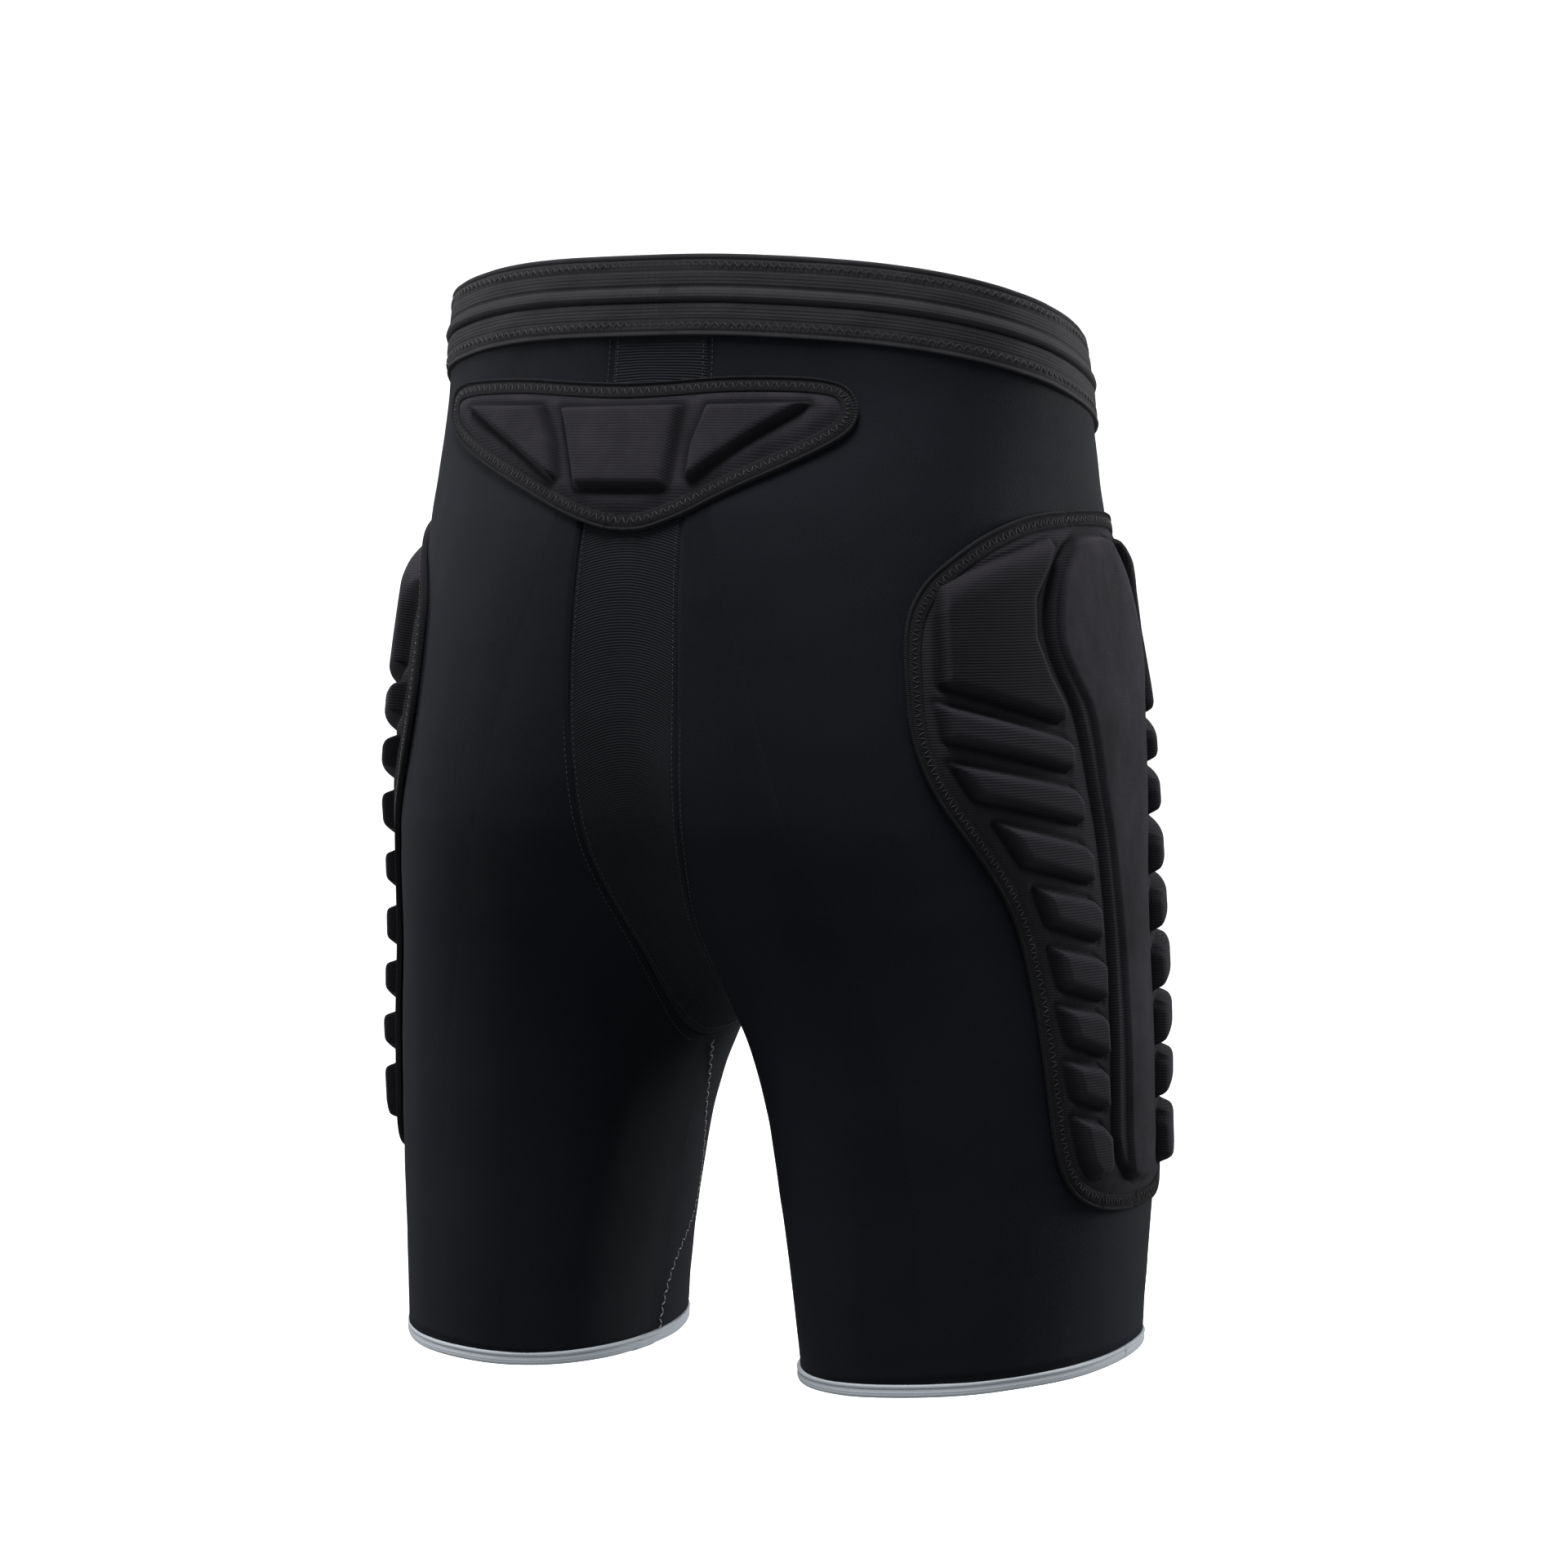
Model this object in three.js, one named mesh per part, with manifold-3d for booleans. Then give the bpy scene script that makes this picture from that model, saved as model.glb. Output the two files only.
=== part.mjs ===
// Padded hip shorts: two stretch leg panels and a gusset, a two-part waistband, a band round each hem,
// a moulded back pad and a moulded pad down each side, each pad held by a sewn binding.
// Millimetres, +Z up, +X the wearer's left, +Y the wearer's back.
// The origin is the centre of the waist opening, level with the waistband's top edge at the sides.
import * as THREE from 'three';
import { mergeVertices } from 'three/addons/utils/BufferGeometryUtils.js';
import Module from 'manifold-3d';

const wasm = await Module();
wasm.setup();

// Shell
const WALL = 2;
const SEAM_GAP = 0.3;
const GUSSET_GAP = { outside: 0.4, inside: 1.2 };
const WAIST_TILT = 0.275;
const HEM = { z: -473, rake: 0.08, slant: 0.014, centreX: 114, centreY: 18 };
const CROTCH_ROUND = 16;
const SECTION_POWER = 2.2;

// The worn form of the left half in level sections. outer and inner are the reach in X, an inner
// reach below zero lies past the mid-plane; back and front are the reach in Y from the centre,
// and shear turns the section so that its inner side lies further back.
const SECTIONS = [
  { z: 40, outer: 151, inner: -145, back: 92, front: 114, centre: 10, shear: 0 },
  { z: 0, outer: 154, inner: -146, back: 94, front: 115, centre: 10, shear: 0 },
  { z: -35, outer: 157, inner: -144, back: 101, front: 115, centre: 7, shear: 0 },
  { z: -95, outer: 161, inner: -118, back: 132, front: 111, centre: 0, shear: 0.01 },
  { z: -170, outer: 171, inner: -80, back: 145, front: 104, centre: -5, shear: 0.03 },
  { z: -225, outer: 175, inner: -48, back: 141, front: 100, centre: -3, shear: 0.07 },
  { z: -260, outer: 178, inner: -24, back: 126, front: 97, centre: 1, shear: 0.1 },
  { z: -295, outer: 181, inner: 4, back: 108, front: 93, centre: 5, shear: 0.14 },
  { z: -330, outer: 184, inner: 21, back: 95, front: 88, centre: 9, shear: 0.17 },
  { z: -365, outer: 185, inner: 32, back: 88, front: 86, centre: 12, shear: 0.21 },
  { z: -395, outer: 186, inner: 37, back: 84, front: 84, centre: 13, shear: 0.24 },
  { z: -435, outer: 184, inner: 43, back: 82, front: 82, centre: 14, shear: 0.25 },
  { z: -475, outer: 182, inner: 47, back: 80, front: 80, centre: 14, shear: 0.25 },
  { z: -515, outer: 179, inner: 50, back: 79, front: 79, centre: 14, shear: 0.25 },
];

// Half the width of the gusset, from the waist down to the crotch.
const GUSSET = [
  { z: 0, half: 24 },
  { z: -95, half: 26 },
  { z: -170, half: 28 },
  { z: -235, half: 25 },
  { z: -280, half: 18 },
  { z: -340, half: 16 },
];

// Mesh counts
const SIDE_COLUMNS = 16;
const SEAM_STATIONS = 12;
const PANEL_ROWS = 10;
const PANEL_ROW_CROWDING = 1.35;
const GUSSET_CELLS = 4;
const WAIST_STATIONS = 40;
const HEM_STATIONS = 28;
const BINDING_STEP = 24;

// Waistband profiles: depth below the top edge and lift off the body, outside down and inside up.
const UPPER_BAND = [
  { depth: 0, lift: 0.6 },
  { depth: 12, lift: 1.6 },
  { depth: 14, lift: 1 },
  { depth: 18, lift: 3.2 },
  { depth: 22, lift: 2 },
  { depth: 22, lift: -1.4 },
  { depth: 0, lift: -1.4 },
];
const LOWER_BAND = [
  { depth: 22.3, lift: 1.4 },
  { depth: 35, lift: 1.8 },
  { depth: 36.5, lift: 2.8 },
  { depth: 37.5, lift: 1.8 },
  { depth: 37.5, lift: -1.4 },
  { depth: 22.3, lift: -1.4 },
];
const WAISTBAND_HEIGHT = 37.5;

// Hem band profile: depth below the shell's cut edge and lift off the body.
const HEM_BAND = [
  { depth: 0.3, lift: 0.4 },
  { depth: 1.4, lift: 0.9 },
  { depth: 6, lift: 0.7 },
  { depth: 6, lift: -1.7 },
  { depth: 0.3, lift: -1.7 },
];

// Pads: lifts off the shell of the foam's underside, its base, and what is moulded on it.
const FOAM = { under: 1.6, base: 4.5, spine: 9.8, block: 10.5, root: 2.9, edgeInset: 0.8 };
const BACK_FOAM = { under: 1.7, base: 4.8, block: 9.5, root: 3, edgeInset: 0.8 };
const BLOCK_SLOPE = 1.8;
const SPINE_SLOPE = 6;
const BINDING = { gap: 0.5, width: 4.3, under: 1.4, top: 3.4, round: 0.9 };

// Side pad, laid out on the shell: across is the distance from the pad's centre line along the
// surface, and z the height. The rear half is given, and the front half mirrors it.
const SIDE_PAD_CENTRE = 4;
const SIDE_PAD_CELLS = 10;
const SPINE_CELLS = 3;
const BLOCK_CELL = 30;
const SIDE_PAD_EDGE = [
  { across: 34, z: -93 },
  { across: 66, z: -102 },
  { across: 88, z: -114 },
  { across: 103, z: -124 },
  { across: 115, z: -140 },
  { across: 121, z: -172 },
  { across: 121, z: -190 },
  { across: 116, z: -206 },
  { across: 107, z: -221 },
  { across: 93, z: -238 },
  { across: 80, z: -255 },
  { across: 70, z: -274 },
  { across: 61, z: -305 },
  { across: 54, z: -340 },
  { across: 49, z: -374 },
  { across: 45, z: -387 },
  { across: 36, z: -395 },
  { across: 19, z: -400 },
];

// Half width of the spine down the middle of the side pad, at its foot.
const SPINE = [
  { z: -102, half: 18 },
  { z: -121, half: 34 },
  { z: -136, half: 42 },
  { z: -150, half: 43 },
  { z: -163, half: 37 },
  { z: -174, half: 29 },
  { z: -205, half: 25 },
  { z: -240, half: 17 },
  { z: -290, half: 16 },
  { z: -340, half: 16 },
  { z: -389, half: 16 },
];

// The large hip block in rows from its tip down: across and height of its inner and outer edges.
const HIP_BLOCK = [
  { inner: 28, innerZ: -99, outer: 35, outerZ: -101 },
  { inner: 31, innerZ: -111, outer: 66, outerZ: -111 },
  { inner: 38, innerZ: -116, outer: 86, outerZ: -118 },
  { inner: 44, innerZ: -121, outer: 102, outerZ: -124 },
  { inner: 54, innerZ: -146, outer: 109, outerZ: -146 },
  { inner: 47, innerZ: -166, outer: 114, outerZ: -164 },
  { inner: 41, innerZ: -181, outer: 113, outerZ: -166 },
];

// The thigh bars below it: inner and outer end, each with the height of its upper and lower corner.
const THIGH_BARS = [
  { inner: 41, innerTop: -188, innerLow: -204, outer: 113, outerTop: -173, outerLow: -188, rake: 1 },
  { inner: 35, innerTop: -213, innerLow: -228, outer: 109, outerTop: -199, outerLow: -216, rake: 12 },
  { inner: 30, innerTop: -239, innerLow: -255, outer: 89, outerTop: -227, outerLow: -246, rake: 14 },
  { inner: 25, innerTop: -264, innerLow: -282, outer: 67, outerTop: -256, outerLow: -274, rake: 8 },
  { inner: 22, innerTop: -288, innerLow: -307, outer: 58, outerTop: -282, outerLow: -300, rake: 4 },
  { inner: 22, innerTop: -314, innerLow: -332, outer: 53, outerTop: -310, outerLow: -325, rake: 5 },
  { inner: 22, innerTop: -340, innerLow: -358, outer: 48, outerTop: -335, outerLow: -351, rake: 5 },
  { inner: 22, innerTop: -366, innerLow: -389, outer: 42, outerTop: -361, outerLow: -385, rake: 6 },
];

// Back pad, laid out likewise about a centre line that leans to the wearer's left at the top.
const BACK_PAD_LEAN = { topZ: -30, topShift: 18, lowZ: -98, lowShift: 2 };
const BACK_PAD_CELLS = 4;
const BACK_PAD_EDGE = [
  { across: 0, top: -36, low: -93 },
  { across: 24, top: -35, low: -87 },
  { across: 52, top: -33, low: -74 },
  { across: 78, top: -33, low: -63 },
  { across: 96, top: -34, low: -54 },
  { across: 105, top: -37, low: -47 },
];
const CENTRE_BLOCK = { topHalf: 31, topZ: -43, lowHalf: 23, lowZ: -79 };
const WING_BLOCK = [
  { inner: 43, innerZ: -42, outer: 90, outerZ: -41 },
  { inner: 38, innerZ: -58, outer: 60, outerZ: -59 },
  { inner: 34, innerZ: -74, outer: 39, outerZ: -73 },
];

// Finishes
const cloth = (color, roughness) => new THREE.MeshStandardMaterial({ color, roughness, metalness: 0 });
const SHELL_CLOTH = cloth(0x15181c, 0.85);
const GUSSET_CLOTH = cloth(0x1b1e22, 0.9);
const ELASTIC = cloth(0x2c2d2f, 0.9);
const PAD_CLOTH = cloth(0x1c1a1e, 0.95);
const BINDING_TAPE = cloth(0x1a1a1e, 0.9);
const HEM_ELASTIC = cloth(0xbec5cb, 0.8);

// A smooth value between the rows of a table, whose slopes follow the neighbouring rows.
function valueAt(rows, column, z) {
  const last = rows.length - 1;
  const found = rows.findIndex((row, k) => k > 0 && z >= row.z);
  const upper = (found < 0 ? last : found) - 1;
  const slope = (k) => {
    const before = rows[Math.max(k - 1, 0)];
    const after = rows[Math.min(k + 1, last)];
    return (after[column] - before[column]) / (after.z - before.z);
  };
  const step = rows[upper + 1].z - rows[upper].z;
  const t = (z - rows[upper].z) / step;
  const start = (1 + 2 * t) * (1 - t) ** 2 * rows[upper][column];
  const end = (3 - 2 * t) * t ** 2 * rows[upper + 1][column];
  const leave = t * (1 - t) ** 2 * step * slope(upper);
  const arrive = (t - 1) * t ** 2 * step * slope(upper + 1);
  return start + end + leave + arrive;
}

const signedPower = (value, power) => Math.sign(value) * Math.abs(value) ** power;
const eased = (x) => Math.hypot(x, CROTCH_ROUND);

// The level section at a height. Its width is measured on the eased X, which rounds the crotch.
const sectionCache = new Map();
function sectionAt(z) {
  if (!sectionCache.has(z)) {
    const read = (column) => valueAt(SECTIONS, column, z);
    const outer = eased(read('outer'));
    const inner = read('inner');
    sectionCache.set(z, {
      middle: (outer + inner) / 2,
      half: (outer - inner) / 2,
      inner,
      back: read('back'),
      front: read('front'),
      centre: read('centre'),
      shear: read('shear'),
    });
  }
  return sectionCache.get(z);
}

// How far outside the body form a point lies: zero on it, growing outwards.
function fieldAt(x, y, z) {
  const s = sectionAt(z);
  const across = (eased(x) - s.middle) / s.half;
  const along = y - s.centre + s.shear * (eased(x) - s.middle);
  const depth = along / (along >= 0 ? s.back : s.front);
  return Math.abs(across) ** SECTION_POWER + Math.abs(depth) ** SECTION_POWER;
}

function outwardAt(x, y, z) {
  const step = 0.5;
  return new THREE.Vector3(
    fieldAt(x + step, y, z) - fieldAt(x - step, y, z),
    fieldAt(x, y + step, z) - fieldAt(x, y - step, z),
    fieldAt(x, y, z + step) - fieldAt(x, y, z - step),
  ).normalize();
}

// The point of the left half at a turn about its section, 0 at the side, plus to the back.
function onBody(turn, z, lift) {
  const s = sectionAt(z);
  const across = signedPower(Math.cos(turn), 2 / SECTION_POWER);
  const depth = signedPower(Math.sin(turn), 2 / SECTION_POWER);
  const ease = s.middle + s.half * across;
  const x = Math.sqrt(Math.max(ease ** 2 - CROTCH_ROUND ** 2, 0));
  const y = s.centre + (depth >= 0 ? s.back : s.front) * depth - s.shear * (ease - s.middle);
  return new THREE.Vector3(x, y, z).addScaledVector(outwardAt(x, y, z), lift);
}

// The turn at which the section reaches a distance from the mid-plane.
function turnAt(z, x) {
  const s = sectionAt(z);
  const across = THREE.MathUtils.clamp((eased(x) - s.middle) / s.half, -1, 1);
  return Math.acos(signedPower(across, SECTION_POWER / 2));
}

// The turn at a distance from the side line along the section.
function turnAtArc(distance, z) {
  const step = Math.sign(distance) * THREE.MathUtils.degToRad(2);
  let turn = 0;
  let here = onBody(turn, z, 0);
  let left = Math.abs(distance);
  while (left > 0) {
    const next = onBody(turn + step, z, 0);
    const length = here.distanceTo(next);
    if (length >= left) return turn + (step * left) / length;
    left -= length;
    turn += step;
    here = next;
  }
  return turn;
}

const mirrored = (point, side) => new THREE.Vector3(point.x * side, point.y, point.z);

// The height at which the inner thighs stand a distance from the mid-plane.
function innerThighHeight(x) {
  let low = SECTIONS.at(-1).z;
  let high = 0;
  for (let i = 0; i < 40; i += 1) {
    const middle = (low + high) / 2;
    if (sectionAt(middle).inner > eased(x)) low = middle;
    else high = middle;
  }
  return high;
}

// The height of the waistline at a turn that turnOf gives for a height.
function waistHeight(turnOf, depth) {
  let z = -depth;
  for (let i = 0; i < 6; i += 1) z = WAIST_TILT * onBody(turnOf(z), z, 0).y - depth;
  return z;
}

// The height of the shell's cut edge at a turn.
function hemHeight(turn) {
  let z = HEM.z;
  for (let i = 0; i < 6; i += 1) {
    const point = onBody(turn, z, 0);
    z = HEM.z - HEM.rake * (point.y - HEM.centreY) + HEM.slant * (point.x - HEM.centreX);
  }
  return z;
}

// A geometry whose faces point out.
function closedGeometry(points, triangles) {
  const edgeA = new THREE.Vector3();
  const edgeB = new THREE.Vector3();
  let volume = 0;
  for (const [a, b, c] of triangles) {
    volume += points[a].dot(edgeA.copy(points[b]).cross(edgeB.copy(points[c])));
  }
  const ordered = volume > 0 ? triangles : triangles.map(([a, b, c]) => [a, c, b]);
  const geometry = new THREE.BufferGeometry().setFromPoints(points);
  geometry.setIndex(ordered.flat());
  return geometry;
}

// A wall between an outer and an inner grid of points. A round one closes on itself along its rows.
function slab(outer, inner, round = false) {
  const columns = outer[0].length;
  const lastRow = outer.length - 1;
  const lastColumn = columns - 1;
  const cells = round ? columns : lastColumn;
  const top = (i, j) => i * columns + (j % columns);
  const under = (i, j) => outer.length * columns + top(i, j);
  const triangles = [];
  const quad = (a, b, c, d) => triangles.push([a, b, c], [a, c, d]);
  for (let j = 0; j < cells; j += 1) {
    for (let i = 0; i < lastRow; i += 1) {
      quad(top(i, j), top(i, j + 1), top(i + 1, j + 1), top(i + 1, j));
      quad(under(i, j), under(i + 1, j), under(i + 1, j + 1), under(i, j + 1));
    }
    quad(top(0, j), under(0, j), under(0, j + 1), top(0, j + 1));
    quad(top(lastRow, j), top(lastRow, j + 1), under(lastRow, j + 1), under(lastRow, j));
  }
  for (let i = 0; !round && i < lastRow; i += 1) {
    quad(top(i, 0), top(i + 1, 0), under(i + 1, 0), under(i, 0));
    quad(top(i, lastColumn), under(i, lastColumn), under(i + 1, lastColumn), top(i + 1, lastColumn));
  }
  return closedGeometry([...outer.flat(), ...inner.flat()], triangles);
}

// A closed hoop through sections, each a closed profile with the same number of points.
function hoop(sections) {
  const size = sections[0].length;
  const at = (i, j) => (i % sections.length) * size + (j % size);
  const triangles = [];
  for (let i = 0; i < sections.length; i += 1) {
    for (let j = 0; j < size; j += 1) {
      triangles.push([at(i, j), at(i, j + 1), at(i + 1, j + 1)], [at(i, j), at(i + 1, j + 1), at(i + 1, j)]);
    }
  }
  return closedGeometry(sections.flat(), triangles);
}

const range = (count) => Array.from({ length: count }, (_, k) => k);
const lerp = THREE.MathUtils.lerp;

// Where the gusset meets a leg panel: heights at the back or the front, from the waist to the crotch.
const towardCrotch = (k) => (1 - Math.cos((k / SEAM_STATIONS) * Math.PI)) / 2;
const gussetHalf = (z) => valueAt(GUSSET, 'half', z);
const seamTurn = (z, end) => end * turnAt(z, gussetHalf(z));
const SHELL_TOP = WAISTBAND_HEIGHT + SEAM_GAP;
const SEAM_LOW = innerThighHeight(GUSSET.at(-1).half);
const MIDLINE_LOW = innerThighHeight(0);

function seamHeights(end) {
  const top = waistHeight((z) => seamTurn(z, end), SHELL_TOP);
  return range(SEAM_STATIONS + 1).map((k) => lerp(top, SEAM_LOW, towardCrotch(k)));
}

// The turn and top height of each column of a leg panel, once round from the inner thigh.
function panelColumns() {
  const column = (end) => (z) => ({ turn: seamTurn(z, end), top: z });
  const front = seamHeights(-1).map(column(-1)).reverse();
  const back = seamHeights(1).map(column(1));
  const sides = range(SIDE_COLUMNS - 1).map((k) => {
    const turn = lerp(front.at(-1).turn, back[0].turn, (k + 1) / SIDE_COLUMNS);
    return { turn, top: waistHeight(() => turn, SHELL_TOP) };
  });
  return [...front, ...sides, ...back.slice(0, -1)];
}

function legPanel(side) {
  const columns = panelColumns().map(({ turn, top }) => ({ turn, top, hem: hemHeight(turn) }));
  const skin = (lift) => range(PANEL_ROWS + 1).map((i) => {
    const climb = 1 - (1 - i / PANEL_ROWS) ** PANEL_ROW_CROWDING;
    return columns.map(({ turn, top, hem }) => mirrored(onBody(turn, lerp(hem, top, climb), lift), side));
  });
  return slab(skin(0), skin(-WALL), true);
}

// One line across the gusset. Near the crotch its ends hang lower than its middle.
function gussetLine(end, seamZ, middleZ, { lift, gap }) {
  const half = gussetHalf(seamZ) - gap;
  return range(GUSSET_CELLS + 1).map((j) => {
    const share = (2 * j) / GUSSET_CELLS - 1;
    const x = Math.abs(share) * half;
    const z = Math.max(lerp(middleZ, seamZ, share ** 2), innerThighHeight(x));
    return mirrored(onBody(end * turnAt(z, x), z, lift), Math.sign(share) || 1);
  });
}

function gussetStrip() {
  const lines = (end, layer) => {
    const middleTop = waistHeight((z) => end * turnAt(z, 0), SHELL_TOP);
    return seamHeights(end).map((seamZ, k) => {
      const middleZ = lerp(middleTop, MIDLINE_LOW, towardCrotch(k));
      return gussetLine(end, seamZ, middleZ, layer);
    });
  };
  const skin = (layer) => [...lines(1, layer), ...lines(-1, layer).reverse().slice(1)];
  return slab(
    skin({ lift: 0, gap: GUSSET_GAP.outside }),
    skin({ lift: -WALL, gap: GUSSET_GAP.inside }),
  );
}

// A point of the waistband: share runs once round from the centre back by the wearer's left.
function waistPoint(share, depth, lift) {
  const side = share < 0.5 ? 1 : -1;
  const turnOf = (z) => turnAt(z, 0) * (1 - 4 * (share % 0.5)) * side;
  const z = waistHeight(turnOf, depth);
  return mirrored(onBody(turnOf(z), z, lift), side);
}

function waistband(profile) {
  return hoop(range(WAIST_STATIONS).map((k) => (
    profile.map(({ depth, lift }) => waistPoint(k / WAIST_STATIONS, depth, lift))
  )));
}

function hemBand(side) {
  return hoop(range(HEM_STATIONS).map((k) => {
    const turn = (k / HEM_STATIONS) * 2 * Math.PI;
    return HEM_BAND.map(({ depth, lift }) => mirrored(onBody(turn, hemHeight(turn) - depth, lift), side));
  }));
}

// A place on a side pad, and one on the back pad.
const sidePlace = (side) => ([across, z], lift) => (
  mirrored(onBody(turnAtArc(across + SIDE_PAD_CENTRE, z), z, lift), side)
);
function backPlace([across, z], lift) {
  const { topZ, topShift, lowZ, lowShift } = BACK_PAD_LEAN;
  const x = across + lerp(topShift, lowShift, (topZ - z) / (topZ - lowZ));
  return mirrored(onBody(turnAt(z, Math.abs(x)), z, lift), Math.sign(x) || 1);
}

// A layout point moved a distance towards another.
function toward([u, v], [u2, v2], distance) {
  const share = distance / Math.hypot(u2 - u, v2 - v);
  return [lerp(u, u2, share), lerp(v, v2, share)];
}

// Rows of a raised shape, each from one edge to the other, drawn in all round.
function drawnIn(rows, inset) {
  const narrow = rows.map(([from, to]) => [toward(from, to, inset), toward(to, from, inset)]);
  const end = (k, next) => narrow[k].map((point, e) => toward(point, narrow[next][e], inset));
  return [end(0, 1), ...narrow.slice(1, -1), end(rows.length - 1, rows.length - 2)];
}

const widthOf = ([from, to]) => Math.hypot(to[0] - from[0], to[1] - from[1]);
const blockCells = (rows) => Math.ceil(Math.max(...rows.map(widthOf)) / BLOCK_CELL);

// A raised shape on a pad: its rows at the lower lift, and drawn in at the upper one.
function raised(rows, cells, place, lower, upper, inset) {
  const layer = (shape, lift) => shape.map(([from, to]) => (
    range(cells + 1).map((j) => place([lerp(from[0], to[0], j / cells), lerp(from[1], to[1], j / cells)], lift))
  ));
  return slab(layer(drawnIn(rows, inset), upper), layer(rows, lower));
}

function solidOf(geometry) {
  const merged = mergeVertices(geometry);
  const vertProperties = merged.getAttribute('position').array;
  const triVerts = new Uint32Array(merged.index.array);
  return new wasm.Manifold(new wasm.Mesh({ numProp: 3, vertProperties, triVerts }));
}

function geometryOf(solid) {
  const { vertProperties, triVerts } = solid.getMesh();
  const geometry = new THREE.BufferGeometry();
  geometry.setAttribute('position', new THREE.BufferAttribute(vertProperties, 3));
  geometry.setIndex(new THREE.BufferAttribute(triVerts, 1));
  return geometry;
}

const joined = (shapes) => geometryOf(shapes.map(solidOf).reduce((all, shape) => all.add(shape)));
const flipRows = (rows) => rows.map((row) => row.map(([u, v]) => [-u, v]));

function barRows(bar) {
  return [
    [[bar.inner, bar.innerTop], [bar.outer, bar.outerTop]],
    [[bar.inner - 1, bar.innerLow], [bar.outer - bar.rake, bar.outerLow]],
  ];
}

const edgeRows = (rows) => rows.map((row) => [[row.inner, row.innerZ], [row.outer, row.outerZ]]);
const spineRows = SPINE.map(({ z, half }) => [[-half, z], [half, z]]);

function sidePad(side) {
  const place = sidePlace(side);
  const block = (rows) => raised(rows, blockCells(rows), place, FOAM.root, FOAM.block, BLOCK_SLOPE);
  const edge = SIDE_PAD_EDGE.map(({ across, z }) => [[-across, z], [across, z]]);
  const base = raised(edge, SIDE_PAD_CELLS, place, FOAM.under, FOAM.base, FOAM.edgeInset);
  const blocks = [edgeRows(HIP_BLOCK), ...THIGH_BARS.map(barRows)];
  return joined([
    base,
    raised(spineRows, SPINE_CELLS, place, FOAM.root, FOAM.spine, SPINE_SLOPE),
    ...blocks.flatMap((rows) => [block(rows), block(flipRows(rows))]),
  ]);
}

function backPad() {
  const { under, base: top, block: height, root, edgeInset } = BACK_FOAM;
  const block = (rows) => raised(rows, blockCells(rows), backPlace, root, height, BLOCK_SLOPE);
  const half = BACK_PAD_EDGE.map(({ across, top, low }) => [[across, top], [across, low]]);
  const edge = [...flipRows(half.slice(1)).reverse(), ...half];
  const base = raised(edge, BACK_PAD_CELLS, backPlace, under, top, edgeInset);
  const { topHalf, topZ, lowHalf, lowZ } = CENTRE_BLOCK;
  const centre = [[[-topHalf, topZ], [topHalf, topZ]], [[-lowHalf, lowZ], [lowHalf, lowZ]]];
  const wing = edgeRows(WING_BLOCK);
  return joined([base, block(centre), block(wing), block(flipRows(wing))]);
}

// A layout outline with no stretch longer than a step.
function stepped(outline, step) {
  return outline.flatMap(([u, v], k) => {
    const [u1, v1] = outline[(k + 1) % outline.length];
    const count = Math.ceil(Math.hypot(u1 - u, v1 - v) / step);
    return range(count).map((j) => [lerp(u, u1, j / count), lerp(v, v1, j / count)]);
  });
}

// A layout outline moved outwards by a distance. It runs anticlockwise with across to the right.
function outset(outline, distance) {
  return outline.map(([u, v], k) => {
    const [u0, v0] = outline.at(k - 1);
    const [u1, v1] = outline[(k + 1) % outline.length];
    const length = Math.hypot(u1 - u0, v1 - v0);
    return [u + ((v1 - v0) / length) * distance, v - ((u1 - u0) / length) * distance];
  });
}

// A sewn binding round a pad's edge, with bevelled upper corners.
function binding(corners, place) {
  const outline = stepped(corners, BINDING_STEP);
  const { gap, width, under, top, round } = BINDING;
  const profile = [
    { out: 0, lift: under },
    { out: round, lift: top },
    { out: width - round, lift: top },
    { out: width, lift: under },
  ];
  const rings = profile.map(({ out, lift }) => (
    outset(outline, gap + out).map((point) => place(point, lift))
  ));
  return hoop(outline.map((_, k) => rings.map((ring) => ring[k])));
}

function sideBinding(side) {
  const rear = SIDE_PAD_EDGE.map(({ across, z }) => [across, z]).reverse();
  const front = SIDE_PAD_EDGE.map(({ across, z }) => [-across, z]);
  return binding([...rear, ...front], sidePlace(side));
}

function backBinding() {
  const low = BACK_PAD_EDGE.map(({ across, low: z }) => [across, z]);
  const top = BACK_PAD_EDGE.map(({ across, top: z }) => [across, z]).reverse();
  const flip = ([u, v]) => [-u, v];
  const otherTop = top.slice(0, -1).map(flip).reverse();
  const otherLow = low.slice(1).map(flip).reverse();
  return binding([...low, ...top, ...otherTop, ...otherLow], backPlace);
}

function piece(name, geometry, material) {
  const mesh = new THREE.Mesh(geometry, material);
  mesh.name = name;
  return mesh;
}

function sidePieces(side, word) {
  const group = new THREE.Group();
  group.add(
    piece(`leg_panel_${word}`, legPanel(side), SHELL_CLOTH),
    piece(`hem_band_${word}`, hemBand(side), HEM_ELASTIC),
    piece(`side_pad_${word}`, sidePad(side), PAD_CLOTH),
    piece(`side_pad_binding_${word}`, sideBinding(side), BINDING_TAPE),
  );
  return group;
}

const shorts = new THREE.Group();
shorts.add(
  sidePieces(1, 'left'),
  sidePieces(-1, 'right'),
  piece('gusset', gussetStrip(), GUSSET_CLOTH),
  piece('waistband_upper', waistband(UPPER_BAND), ELASTIC),
  piece('waistband_lower', waistband(LOWER_BAND), ELASTIC),
  piece('back_pad', backPad(), PAD_CLOTH),
  piece('back_pad_binding', backBinding(), BINDING_TAPE),
);

export default shorts;
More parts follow.
